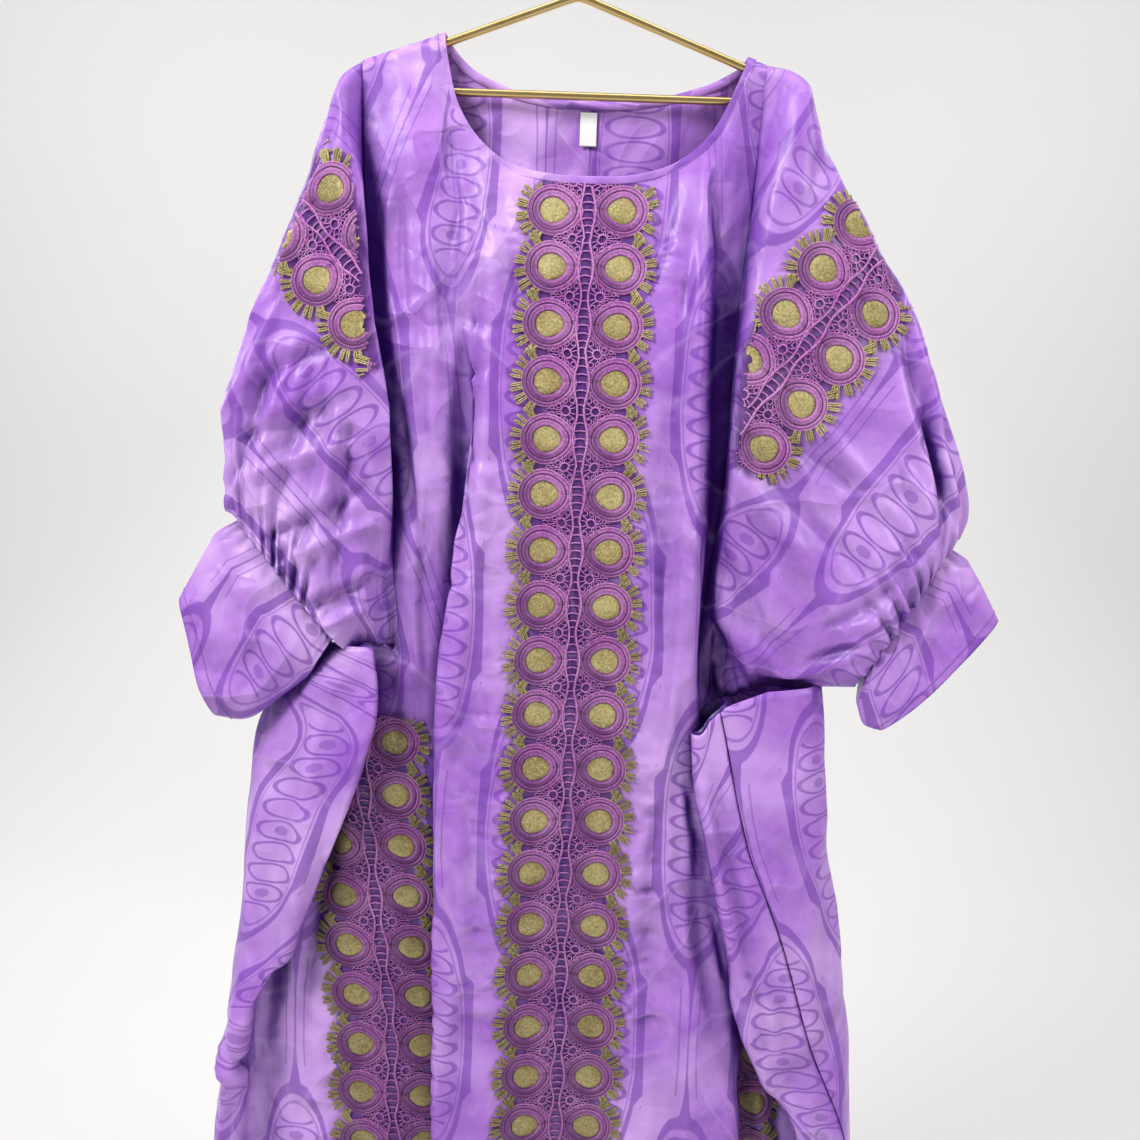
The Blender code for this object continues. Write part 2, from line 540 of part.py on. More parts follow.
def face_outwards(bm):
    """Turn the faces of an open tube away from its middle."""
    bmesh.ops.recalc_face_normals(bm, faces=bm.faces)
    middle = sum((v.co for v in bm.verts), Vector()) / len(bm.verts)
    if sum((f.calc_center_median() - middle).dot(f.normal) * f.calc_area() for f in bm.faces) < 0.0:
        bmesh.ops.reverse_faces(bm, faces=bm.faces)


def make_sleeve(side, material):
    rings = [sleeve_ring(side, out) for out in SLEEVE_COLUMNS]
    bm = sheet_mesh(rings, closed=True)
    bm.verts.ensure_lookup_table()
    count = len(rings[0])
    last = [bm.verts[(len(rings) - 1) * count + j] for j in range(count)]
    gathers = [[bm.verts.new(metres(p)) for p in sleeve_ring(side, out,
                                                             doubled=True)] for out in GATHER_COLUMNS]
    bridge_doubled(bm, last, gathers[0])
    for near, far in zip(gathers, gathers[1:]):
        for j in range(len(near)):
            k = (j + 1) % len(near)
            bm.faces.new((near[j], far[j], far[k], near[k]))
    face_outwards(bm)
    return make_wall("sleeve_" + side, bm, material)


def make_cuff(side, material):
    bm = sheet_mesh([cuff_ring(side, down) for down in CUFF_COLUMNS], closed=True)
    face_outwards(bm)
    return make_wall("cuff_" + side, bm, material)


def make_binding(material):
    inner = neck_curve(NECK_STRIDE)
    outer = neck_curve(NECK_STRIDE, BINDING_WIDTH)
    bm = sheet_mesh([list(inner), list(outer)], closed=True)
    return make_wall("neck_binding", bm, material, BINDING_WALL)


# ---- lace bands -----------------------------------------------------------------------------
ROW_PITCH = 56.5            # one pair of medallions
MEDALLION_OFFSET = 35.0     # from the band's centre line to a medallion's centre
MEDALLION_CORE = 19.0       # radius of the raised satin
CORE_POINTS = 5
LACE_HEIGHTS = (0.8, 1.8, 3.2)      # underside, web and raised satin, from the cloth
FRINGE_HEIGHTS = (0.9, 2.6, 2.6)
SCALLOP = ((52.0, 3.0), (61.0, 16.0), (61.0, 40.5), (52.0, 53.5))     # (across, down) in one row
LENS = ((0.0, 8.0), (7.0, 19.0), (7.0, 37.5), (0.0, 48.5), (-7.0, 37.5), (-7.0, 19.0))
COMB_INNER, COMB_OUTER, COMB_TIP = 62.4, 64.2, 73.0
LOCKS = ((8.0, 12.0, 20.0), (36.5, 44.5, 48.5))       # root, tip, root of each lock, down the row
SHORT_EDGE = 4.0            # a shorter last stretch of a band's edge is left out
BAND_END = 3.0              # from the last row to the hem

FRONT_BANDS = (
    # name, top, rows, fold at its left, fold at its right, centre line (z, x), fringed edges, their first rows
    ("lace_center", -259.0, 23.7, "edge_out", "ridge_right", ((-259, 0), (-1600, 0)),
     (("left", 0), ("right", 0))),
    ("lace_left_lower", -806.0, 14.0, "tuck_left_in", "pleat_in",
     ((-806, -219), (-900, -214), (-1020, -200), (-1140, -184), (-1260, -178), (-1600, -172)),
     (("left", 2), ("right", 0))),
    ("lace_right_lower", -1146.0, 8.0, "under_centre_in", "tuck_right", ((-1146, 184), (-1600, 184)),
     (("right", 0),)),
)
CLEARANCE = 0.6             # from any point of a laid piece to the cloth under it
CLEAR_SAMPLES, CLEAR_ROUNDS = 5, 12
MOST_LIFT = 4.0
EDGE_SHARE = 0.6            # a place beside the cloth rather than over it
LATTICE_ACROSS = 13.0
LATTICE_DOWN = ROW_PITCH / 4


def fold_column(name):
    """Index of a fold's own column in the rows of the front."""
    names = [f[0] for f in FRONT_FOLDS]
    return sum(FRONT_STEPS[n] for n in names[:names.index(name)])


def section_at(rows, z, first, last):
    """Section of the front at height z between two columns."""
    sections = [np.array(row[first:last + 1]) for row in rows if None not in row[first:last + 1]]
    for upper, lower in zip(sections, sections[1:]):
        if lower[:, 2].min() <= z or lower is sections[-1]:
            share = (upper[:, 2:] - z) / (upper[:, 2:] - lower[:, 2:])
            return upper + (lower - upper) * np.minimum(share, 1.0)


def front_lattice(rows, band):
    """Points of the front under a band: one line for each quarter row, from left to right."""
    _, top, count, first, last, centre_line, _ = band
    first, last = fold_column(first), fold_column(last)
    centre_line = np.array(centre_line, float)
    reach = int(math.ceil(COMB_TIP / LATTICE_ACROSS)) + 1
    lattice = []
    for k in range(int(round(count * 4)) + 1):
        z = top - k * LATTICE_DOWN
        section = section_at(rows, z, first, last)
        lengths = np.concatenate([[0.0], np.cumsum(np.linalg.norm(np.diff(section[:, :2], axis=0), axis=1))])
        middle_x = np.interp(-z, -centre_line[:, 0], centre_line[:, 1])
        middle = np.interp(middle_x, section[:, 0], lengths)
        at = middle + np.arange(-reach, reach + 1) * LATTICE_ACROSS
        line = np.stack([np.interp(at, lengths, section[:, c]) for c in (0, 1, 2)], axis=1)
        ends = np.stack([section[1] - section[0], section[-1] - section[-2]])
        ends /= np.linalg.norm(ends, axis=1)[:, None]
        for i, a in enumerate(at):
            if a < 0.0:
                line[i] = section[0] + ends[0] * a
            elif a > lengths[-1]:
                line[i] = section[-1] + ends[1] * (a - lengths[-1])
        lattice.append(line)
    return with_normals(np.array(lattice))


def with_normals(lattice):
    """The lattice with a smooth way out of the cloth at each point: x, y, z, then its normal."""
    normals = np.cross(np.gradient(lattice, axis=0), np.gradient(lattice, axis=1))
    for _ in range(2):
        normals /= np.linalg.norm(normals, axis=2)[:, :, None]
        wide = np.pad(normals, ((1, 1), (1, 1), (0, 0)), mode="edge")
        height, width = lattice.shape[:2]
        normals = sum(wide[i:i + height, j:j + width] for i in range(3) for j in range(3))
    return np.concatenate([lattice, normals / np.linalg.norm(normals, axis=2)[:, :, None]], axis=2)


def lattice_point(lattice, across_band, down):
    """Point of the cloth under a place of the flat band, and the way out of the cloth there."""
    reach = (lattice.shape[1] - 1) / 2
    i = min(max(down / LATTICE_DOWN, 0.0), lattice.shape[0] - 1.001)
    j = min(max(across_band / LATTICE_ACROSS + reach, 0.0), lattice.shape[1] - 1.001)
    r, c = int(i), int(j)
    p, q = down / LATTICE_DOWN - r, across_band / LATTICE_ACROSS + reach - c
    c00, c10, c01, c11 = lattice[r, c], lattice[r + 1, c], lattice[r, c + 1], lattice[r + 1, c + 1]
    at = (1 - p) * (1 - q) * c00 + p * (1 - q) * c10 + (1 - p) * q * c01 + p * q * c11
    return at[:3], at[3:] / np.linalg.norm(at[3:])


def band_outline(rows, length):
    """Flat scalloped outline of a band, down its left edge and up its right."""
    down = [(u, row * ROW_PITCH + v) for row in range(rows + 1) for u, v in SCALLOP]
    down = [place for place in down if place[1] <= length]
    if down[-1][1] < length - SHORT_EDGE:
        down.append((down[-1][0], length))
    return [(-u, v) for u, v in down] + down[::-1]


def inside(loop, point):
    """Whether a flat point lies inside a loop of flat points."""
    odd = False
    for (x1, y1), (x2, y2) in zip(loop, loop[1:] + loop[:1]):
        if (y1 > point[1]) != (y2 > point[1]) and point[0] < (x2 - x1) * (point[1] - y1) / (y2 - y1) + x1:
            odd = not odd
    return odd


def fill_flat(points, loops, holes):
    """Triangles inside the loops and outside the holes; every loop's points stay."""
    edges = []
    for loop in loops + holes:
        edges.extend((a, b) for a, b in zip(loop, loop[1:] + loop[:1]))
    found = delaunay_2d_cdt([Vector(p) for p in points], edges, [], 0, 1e-4)
    vertices, triangles, origins = found[0], found[2], found[3]
    back = {i: (origins[i][0] if origins[i] else None) for i in range(len(vertices))}

    outline = [points[i] for i in loops[0]]
    openings = [[points[i] for i in hole] for hole in holes]
    kept = []
    for face in triangles:
        middle = sum((Vector(vertices[i]) for i in face), Vector((0.0, 0.0))) / len(face)
        if inside(outline, middle) and not any(inside(h, middle) for h in openings):
            kept.append([back[i] for i in face])
    return kept


def cloth_tree(nodes):
    """Search tree of the outer faces of some panels."""
    points, faces = [], []
    for node in nodes:
        start = len(points)
        points.extend(v.co for v in node.data.vertices)
        faces.extend([start + i for i in p.vertices] for p in node.data.polygons)
    return BVHTree.FromPolygons(points, faces)


def gap_over(tree, at):
    """Millimetres from the cloth to a point, less than nothing under it."""
    near, normal, _, distance = tree.find_nearest(at)
    height = (at - near).dot(normal)
    beyond_edge = abs(height) < EDGE_SHARE * distance
    return (distance if beyond_edge else height) * 1000.0


def clear_lifts(tree, places, normals, triangles, under):
    """Extra height for each point, so that no triangle between them meets the cloth."""
    lifts = np.zeros(len(places))
    shares = [(a / CLEAR_SAMPLES, b / CLEAR_SAMPLES) for a in range(CLEAR_SAMPLES + 1)
              for b in range(CLEAR_SAMPLES + 1 - a)]
    for _ in range(CLEAR_ROUNDS):
        missing = np.zeros(len(places))
        for triangle in triangles:
            corners = [places[i] + normals[i] * (under + lifts[i]) for i in triangle]
            lack = 0.0
            for a, b in shares:
                at = metres(corners[0] * a + corners[1] * b + corners[2] * (1 - a - b))
                lack = max(lack, CLEARANCE - gap_over(tree, at))
            for i in triangle:
                missing[i] = max(missing[i], lack)
        if missing.max() < 0.02:
            break
        lifts = np.minimum(lifts + missing, MOST_LIFT)
    return lifts


def flat_piece(name, cloth, lattice, outline, holes, raised, heights, material):
    """Closed piece laid on the cloth, with a plain underside; raised holds (place, height over the cloth)."""
    under, web = heights[:2]
    flat = list(outline)
    loops = [list(range(len(flat)))]
    hole_loops = []
    for hole in holes:
        hole_loops.append(list(range(len(flat), len(flat) + len(hole))))
        flat.extend(hole)
    rises = [web] * len(flat) + [height for place, height in raised]
    flat.extend(place for place, height in raised)
    triangles = fill_flat(flat, loops, hole_loops)
    laid = [lattice_point(lattice, u, v) for u, v in flat]
    places, normals = [p for p, n in laid], [n for p, n in laid]
    lifts = clear_lifts(cloth_tree(cloth), places, normals, triangles, under)
    bm = bmesh.new()
    lower = [bm.verts.new(metres(p + n * (under + lift))) for p, n, lift in zip(places, normals, lifts)]
    tops = [p + n * (rise + lift) for p, n, rise, lift in zip(places, normals, rises, lifts)]
    upper = [bm.verts.new(metres(p)) for p in tops]
    for triangle in triangles:
        bm.faces.new([lower[i] for i in reversed(triangle)])
        bm.faces.new([upper[i] for i in triangle])
    for loop in loops + hole_loops:
        for a, b in zip(loop, loop[1:] + loop[:1]):
            bm.faces.new((upper[a], upper[b], lower[b], lower[a]))
    bmesh.ops.recalc_face_normals(bm, faces=bm.faces)
    if bm.calc_volume(signed=True) < 0.0:
        bmesh.ops.reverse_faces(bm, faces=bm.faces)
    return make_node(name, bm, material, 25.0)


def core(centre, radius, height):
    """The raised satin of a medallion: its points with their height."""
    points = []
    for k in range(CORE_POINTS):
        angle = 2.0 * math.pi * k / CORE_POINTS
        points.append(((centre[0] + radius * math.cos(angle), centre[1] + radius * math.sin(angle)), height))
    return points


def make_front_lace(name, front, lattice, rows, length, material):
    raised, holes = [], []
    for row in range(rows):
        middle = (row + 0.5) * ROW_PITCH
        for offset in (-MEDALLION_OFFSET, MEDALLION_OFFSET):
            raised.extend(core((offset, middle), MEDALLION_CORE, LACE_HEIGHTS[2]))
        holes.append([(u, row * ROW_PITCH + v) for u, v in LENS])
    flat_piece(name, (front,), lattice, band_outline(rows, length), holes, raised, LACE_HEIGHTS, material)


def make_fringe(name, front, lattice, rows, side, material):
    """A strip along one edge of a band, with the gold locks standing out of it."""
    sign = -1.0 if side == "left" else 1.0
    top, end = rows[0] * ROW_PITCH + 1.0, (rows[-1] + 1) * ROW_PITCH - 1.0
    inner = [(COMB_INNER, row * ROW_PITCH + 1.0) for row in rows] + [(COMB_INNER, end)]
    outer = [(COMB_OUTER, top)]
    for row in rows:
        for lock in LOCKS:
            outer.extend((u, row * ROW_PITCH + v) for u, v in zip((COMB_OUTER, COMB_TIP, COMB_OUTER), lock))
    outer.append((COMB_OUTER, end))
    outline = [(sign * u, v) for u, v in inner + outer[::-1]]
    flat_piece(name, (front,), lattice, outline, [], [], FRINGE_HEIGHTS, material)


def make_bands(front_rows, front, satin, gold):
    for band in FRONT_BANDS:
        name, _, count, _, _, _, fringe = band
        lattice = front_lattice(front_rows, band)
        rows, length = int(count), count * ROW_PITCH - BAND_END
        make_front_lace(name, front, lattice, rows, length, satin)
        for side, first_row in fringe:
            fringe_name = name.replace("lace", "fringe") + "_" + side
            make_fringe(fringe_name, front, lattice, range(first_row, rows), side, gold)


# ---- label ----------------------------------------------------------------------------------
LABEL_SIZE = (17.0, 33.0, 0.7)
LABEL_TOP = (-2.0, 15.9, -180.5)


def make_label(material):
    width, height, thickness = LABEL_SIZE
    x, y, z = LABEL_TOP
    bm = bmesh.new()
    bmesh.ops.create_cube(bm, size=1.0)
    for vert in bm.verts:
        vert.co = metres((x + vert.co.x * width, y + vert.co.y * thickness, z + (vert.co.z - 0.5) * height))
    return make_node("neck_label", bm, material)


# ---- hanger ---------------------------------------------------------------------------------
HANGER_CORNER = 11.5        # radius of the round ends
TUBE_SIDES = 8


def tube_node(name, points, radius, material, cyclic):
    """Round bar along points of the plane of the hanger."""
    points = np.array(points, float)
    count = len(points)
    bm = bmesh.new()
    rings = []
    for i in range(count):
        before = points[i - 1] if i or cyclic else points[i]
        after = points[(i + 1) % count] if i < count - 1 or cyclic else points[i]
        along = (after - before) / np.linalg.norm(after - before)
        out = np.array((-along[2], 0.0, along[0]))
        ring = []
        for k in range(TUBE_SIDES):
            angle = 2.0 * math.pi * k / TUBE_SIDES
            at = points[i] + radius * (math.cos(angle) * out + math.sin(angle) * np.array((0.0, 1.0, 0.0)))
            ring.append(bm.verts.new(at / 1000.0))
        rings.append(ring)
    pairs = list(zip(rings, rings[1:])) + ([(rings[-1], rings[0])] if cyclic else [])
    for near, far in pairs:
        for k in range(TUBE_SIDES):
            j = (k + 1) % TUBE_SIDES
            bm.faces.new((near[k], near[j], far[j], far[k]))
    if not cyclic:
        bm.faces.new(rings[0])
        bm.faces.new(rings[-1][::-1])
    bmesh.ops.recalc_face_normals(bm, faces=bm.faces)
    if bm.calc_volume(signed=True) < 0.0:
        bmesh.ops.reverse_faces(bm, faces=bm.faces)
    return make_node(name, bm, material)


def hanger_points():
    """Centre line of the arms, the round ends and the bar."""
    fall = math.atan(HANGER_SLOPE)
    centre_x = HANGER_HALF_WIDTH - HANGER_CORNER
    centre_z = HANGER_BAR_Z + HANGER_CORNER
    right = []
    for k in range(7):
        angle = math.pi / 2 - fall - k * (math.pi - fall) / 6
        right.append((centre_x + HANGER_CORNER * math.cos(angle), 0.0,
                      centre_z + HANGER_CORNER * math.sin(angle)))
    return [(0.0, 0.0, HANGER_TOP_Z)] + right + [(-x, y, z) for x, y, z in right[::-1]]


def hook_points():
    radius = HOOK_INNER_RADIUS + HOOK_WIRE / 2
    points = [(0.0, 0.0, z) for z in (HANGER_TOP_Z + HANGER_TUBE / 2 + HOOK_SEAT, -56.0, -50.0)] + [(2.6,
                                                                                                     0.0,
                                                                                                     -43.5)]
    for k in range(18):
        angle = math.radians(-52 + k * 15)
        points.append((radius * math.cos(angle), 0.0, -HOOK_INNER_RADIUS + radius * math.sin(angle)))
    return points


def make_hanger(material):
    tube_node("hanger", hanger_points(), HANGER_TUBE / 2, material, True)
    tube_node("hook", hook_points(), HOOK_WIRE / 2, material, False)


# ---- materials ------------------------------------------------------------------------------
def linear(code):
    values = [int(code[i:i + 2], 16) / 255.0 for i in (1, 3, 5)]
    return tuple(v / 12.92 if v <= 0.04045 else ((v + 0.055) / 1.055) ** 2.4 for v in values) + (1.0,)


def make_material(name, code, roughness, metallic=0.0):
    material = bpy.data.materials.new(name)
    material.use_nodes = True
    shader = material.node_tree.nodes["Principled BSDF"]
    shader.inputs["Base Color"].default_value = linear(code)
    shader.inputs["Roughness"].default_value = roughness
    shader.inputs["Metallic"].default_value = metallic
    return material


def main():
    for item in list(bpy.data.objects):
        bpy.data.objects.remove(item)
    bazin = make_material("glazed damask cotton", "#A06ECD", 0.45)
    front_rows = panel_rows(FRONT_FOLDS, FRONT_STEPS, NECK_EDGE_FRONT,
                            {"lace_left": ("left", -1), "lace_right": ("right", 1)})
    front = make_wall("front", sheet_mesh(front_rows), bazin)
    for name, folds, side, outwards in (("back_left", BACK_LEFT_FOLDS, "left", -1),
                                        ("back_right", BACK_RIGHT_FOLDS, "right", 1)):
        rows = panel_rows(folds, BACK_STEPS, NECK_EDGE_BACK, {"armhole_" + side: (side, outwards)})
        make_wall(name, sheet_mesh(rows), bazin)
    for side in ("left", "right"):
        make_sleeve(side, bazin)
        make_cuff(side, bazin)
    make_binding(bazin)
    satin = make_material("guipure lace", "#9C3FA8", 0.5)
    gold = make_material("metallic yarn", "#AA8C46", 0.45, 0.3)
    metal = make_material("satin gold metal", "#C8AF73", 0.3, 1.0)
    make_bands(front_rows, front, satin, gold)
    make_label(make_material("woven label", "#F2F0EE", 0.6))
    make_hanger(metal)


main()
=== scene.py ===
"""Grand boubou robe on a metal hanger: glazed damask, guipure lace, gold edging and satin metal.

Tables are in millimetres: x from the centre front, y from the plane of the hanger (negative to
the front), z from the saddle of the hook.
"""
import math

import bpy
import numpy as np
from mathutils import Matrix, Vector, noise
from mathutils.bvhtree import BVHTree
from mathutils.kdtree import KDTree


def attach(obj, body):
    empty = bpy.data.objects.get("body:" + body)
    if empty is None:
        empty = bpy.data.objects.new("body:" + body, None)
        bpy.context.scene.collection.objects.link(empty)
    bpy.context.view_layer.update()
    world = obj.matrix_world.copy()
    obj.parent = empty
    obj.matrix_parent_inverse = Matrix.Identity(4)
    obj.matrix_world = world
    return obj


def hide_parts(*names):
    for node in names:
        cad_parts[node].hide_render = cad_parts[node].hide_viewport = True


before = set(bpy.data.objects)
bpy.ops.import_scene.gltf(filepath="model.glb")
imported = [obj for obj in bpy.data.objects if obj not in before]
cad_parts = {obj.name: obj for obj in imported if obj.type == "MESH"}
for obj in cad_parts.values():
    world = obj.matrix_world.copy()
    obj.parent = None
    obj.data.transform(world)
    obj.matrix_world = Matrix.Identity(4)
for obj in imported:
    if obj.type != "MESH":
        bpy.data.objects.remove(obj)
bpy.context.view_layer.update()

# ---- sizes, millimetres ----------------------------------------------------------------------
WALL = 1.6                  # cloth with its folds and hems
CLOTH = 0.9                 # a single thickness where it shows
ARMHOLE_GAP = -0.3
CENTRE_FRONT = 16.0         # the neck sits this far to the right of the hook
BINDING_WIDTH = 9.0
HANGER_HALF_WIDTH = 202.0
HANGER_TUBE = 8.0
HANGER_TOP_Z = -75.0
HANGER_SLOPE = 0.348
HANGER_BAR_Z = -169.0
HANGER_CORNER = 11.5
HOOK_WIRE = 4.6
HOOK_INNER_RADIUS = 17.0
STEP = 6.5                  # longest side of a cell of cloth
SETTLE = 7.0                # below its top, a panel takes this long to reach its own depth
ARMHOLE_DEPTH = 9.0         # half depth of an armhole, and of the sleeve where it starts
ARMHOLE_SQUARENESS, SLEEVE_SQUARENESS = 60.0, 3.0       # powers of their oval sections
CROTCH_DEPTH = 3.0          # least half depth at the foot of an armhole
ARMPITS = {"left": -735.0, "right": -800.0}
ARMHOLE_FOLDS = {"left": "lace_left", "right": "lace_right"}
# the body's side rises under the sleeve: overlap, how soon it starts and how far down it fades
UNDERARM_GAP, UNDERARM_START, UNDERARM_FADE = -7.0, 10.0, 130.0
YOKE_Z = -350.0             # below this every row is level; above, rows close up to the neckline
TOP, HEM = -130.0, -1600.0
HEIGHTS = [TOP, -131.5, -133.5, -137.0, -142.0, -149.0] + list(np.linspace(-156.0, HEM, 224))

LEVELS = (-130, -250, -400, -560, -650, -735, -800, -900, -1020, -1140, -1260, -1420, -1600)


def with_pairs(rows):
    """Fold table with each fold's x and y brought together, level by level."""
    return tuple((name, first, tuple(zip(xs, ys))) for name, first, xs, ys in rows)


FRONT_FOLDS = with_pairs((
    # name, first level, x at each level, y at each level
    ("seam_left", 5, (-252, -318, -343, -352, -362, -352, -352, -360), (-26, -12, 2, 6, 8, 14, 16, 16)),
    ("side_left", 5, (-243, -290, -325, -345, -364, -376, -373, -381), (-33, -34, -30, -24, -14, -4, -2, -2)),
    ("panel_left", 5, (-228, -250, -285, -315, -352, -376, -373, -381),
        (-40, -46, -48, -44, -34, -20, -18, -18)),
    ("edge_left", 5, (-206, -199, -229, -267, -335, -366, -364, -372),
        (-43, -52, -56, -54, -46, -33, -30, -30)),
    ("edge_left_in", 5, (-206, -199, -229, -267, -333, -360, -358, -366),
        (-35, -42, -44, -42, -36, -26, -23, -23)),
    ("tuck_left", 5, (-212, -291, -306, -322, -345, -352, -350, -358),
        (-30, -28, -30, -30, -26, -19, -16, -16)),
    ("tuck_left_in", 5, (-211, -289, -304, -320, -340, -344, -342, -350),
        (-23, -18, -19, -18, -14, -10, -8, -8)),
    ("lace_left", 0, (-228, -226, -216, -191, -190, -188, -226, -238, -246, -254, -262, -262, -270),
        (0, -8, -8, -8, -8, -6, -17, -19, -20, -20, -20, -20, -20)),
    ("strip_left", 0, (-205, -196, -186, -168, -166, -165, -172, -182, -190, -196, -200, -200, -206),
        (-8, -22, -26, -24, -22, -19, -20, -21, -22, -22, -24, -24, -24)),
    ("strip_inner", 0, (-180, -166, -154, -146, -148, -148, -148, -150, -152, -152, -150, -150, -152),
        (-10, -24, -27, -26, -22, -20, -20, -20, -21, -22, -24, -24, -24)),
    ("pleat_in", 0, (-162, -140, -128, -116, -106, -100, -96, -92, -90, -88, -86, -86, -88),
        (-9, -17, -19, -18, -17, -16, -16, -16, -16, -16, -16, -16, -16)),
    ("pleat_out", 0, (-156.2, -135, -122, -112, -104, -99, -96, -92, -90, -88, -86, -86, -88),
        (-9, -17, -21, -25, -28, -29, -30, -30, -30, -30, -30, -30, -30)),
    ("edge_in", 0, (-151, -130, -120, -119, -128, -135, -138, -137, -136, -133, -131, -131, -134),
        (-9, -18, -24, -31, -35, -36, -37, -38, -38, -38, -38, -38, -38)),
    ("edge_out", 0, (-145, -124, -115, -117, -128, -136, -139, -138, -137, -134, -131, -131, -134),
        (-9, -21, -30, -40, -46, -49, -50, -52, -52, -52, -52, -52, -52)),
    ("centre_left", 0, (-90, -92, -88, -86, -88, -90, -92, -92, -90, -86, -80, -76, -76),
        (-12, -27, -37, -43, -48, -51, -53, -56, -58, -58, -58, -60, -60)),
    ("centre", 0, (0, 0, 0, 0, 0, 0, 0, 0, 0, 0, 0, 0, 0),
        (-15, -22, -29, -34, -37, -39, -41, -43, -45, -46, -47, -48, -50)),
    ("centre_right", 0, (90, 84, 84, 86, 88, 88, 86, 84, 84, 82, 80, 80, 80),
        (-12, -27, -36, -41, -44, -44, -44, -46, -49, -51, -53, -54, -56)),
    ("ridge_right", 0, (130, 112, 116, 121, 122, 122, 126, 144, 168, 186, 190, 186, 184),
        (-9, -29, -39, -46, -50, -49, -45, -41, -43, -46, -48, -50, -52)),
    ("ridge_right_in", 0, (144, 125, 128, 132, 131, 129, 134, 152, 178, 196, 197, 192, 190),
        (-9, -19, -25, -31, -37, -38, -36, -33, -34, -36, -38, -40, -42)),
    ("under_centre", 0, (156, 134, 134, 137, 134, 128, 120, 114, 112, 110, 108, 104, 102),
        (-9, -12, -15, -19, -25, -27, -27, -27, -28, -28, -28, -28, -28)),
    ("under_centre_in", 0, (162.8, 146, 142, 140, 134, 127, 120, 114, 112, 110, 108, 104, 102),
        (-8, -10, -12, -13, -14, -14, -14, -14, -14, -14, -14, -14, -14)),
    ("lace_right", 0, (172, 166, 155, 150, 139, 133, 140, 166, 196, 214, 224, 224, 224),
        (0, -8, -8, -8, -8, -8, -8, -12, -14, -15, -15, -15, -15)),
    ("tuck_right", 6, (156, 202, 240, 262, 288, 302, 306), (-16, -18, -18, -16, -12, -8, -8)),
    ("tuck_right_in", 6, (157, 204, 242, 264, 290, 304, 308), (-42, -44, -42, -36, -26, -18, -18)),
    ("edge_right_in", 6, (126, 136, 166, 199, 262, 288, 292), (-52, -54, -56, -54, -40, -30, -30)),
    ("edge_right", 6, (126, 136, 166, 199, 264, 290, 294), (-62, -67, -70, -68, -54, -42, -42)),
    ("panel_right", 6, (140, 156, 198, 232, 290, 312, 316), (-63, -68, -70, -66, -50, -38, -38)),
    ("seam_right", 6, (152, 180, 228, 267, 316, 330, 335), (-60, -63, -63, -56, -36, -24, -24)),
))
FOLDS = {fold[0]: fold for fold in FRONT_FOLDS}


def hermite(knots, values, at):
    """Smooth curve through values at knots, with slopes from their neighbours."""
    knots = np.asarray(knots, float)
    values = np.asarray(values, float)
    at = np.atleast_1d(np.asarray(at, float))
    steps = np.diff(knots)
    slopes = np.diff(values, axis=0) / steps.reshape((-1,) + (1,) * (values.ndim - 1))
    tangents = np.empty_like(values)
    tangents[0], tangents[-1] = slopes[0], slopes[-1]
    for i in range(1, len(knots) - 1):
        tangents[i] = (slopes[i - 1] * steps[i] + slopes[i] * steps[i - 1]) / (steps[i - 1] + steps[i])
    cell = np.clip(np.searchsorted(knots, at, side="right") - 1, 0, len(knots) - 2)
    h = steps[cell]
    t = np.clip((at - knots[cell]) / h, 0.0, 1.0)
    shape = (-1,) + (1,) * (values.ndim - 1)
    h, t = h.reshape(shape), t.reshape(shape)
    return ((2 * t**3 - 3 * t**2 + 1) * values[cell] + (t**3 - 2 * t**2 + t) * h * tangents[cell]
            + (3 * t**2 - 2 * t**3) * values[cell + 1] + (t**3 - t**2) * h * tangents[cell + 1])


def chords(points, axis=0):
    """Length from each point to the next along an axis, 0 at the first."""
    points = np.asarray(points, float)
    first = np.take(points, [0], axis=axis)
    return np.linalg.norm(np.diff(points, axis=axis, prepend=first), axis=-1)


def run_along(points, axis=0):
    """Length along a line of points, or along each line of a grid."""
    return np.cumsum(chords(points, axis), axis=axis)


def curve_at(points, fractions):
    """Points on a smooth curve through points, at fractions of its chord length."""
    knots = run_along(points)
    return hermite(knots / knots[-1], points, fractions)


def across(points, steps):
    """Section through fold points: steps[i] pieces between point i and the next."""
    points = np.asarray(points, float)
    steady = np.linalg.norm(np.diff(points[:, :2], axis=0), axis=1) ** 0.6 + 1e-6
    knots = np.concatenate([[0.0], np.cumsum(steady)])
    at = [knots[0]]
    for i, count in enumerate(steps):
        for k in range(1, count + 1):
            at.append(knots[i] + (knots[i + 1] - knots[i]) * k / count)
    return hermite(knots, points, at)


# The neckline, once round from the left shoulder over the front: x, y, z and the lie of the
# binding's width in degrees, 0 towards -X, 90 down, 180 towards +X.
NECKLINE = (
    # x, y, z, lie
    (-147, 0, -112.5, 19), (-146.5, -6.5, -118, 18), (-141, -8, -150, 12), (-132, -9, -182, 20),
    (-112, -10, -213, 42), (-80, -12, -237.5, 64), (-40, -14, -247, 81), (0, -15, -248.5, 90),
    (46, -14, -245.5, 98), (88, -12, -231, 115), (120, -10, -203, 138), (137, -9, -172, 158),
    (146, -8, -150, 167), (153, -6.5, -132, 164), (154, 0, -126, 161), (151, 7.5, -130.5, 156),
    (128, 10, -146, 128), (96, 13, -157.5, 112), (50, 16, -166.5, 98), (0, 17, -169, 90),
    (-50, 16, -166.5, 80), (-90, 13, -157.5, 66), (-122, 10, -142, 48), (-144, 7.5, -117.5, 24),
)
SHOULDER_GAP = 1.6          # over an arm of the hanger
SHOULDER_EDGE = 1.5         # front and back end this far from the middle, over the arm


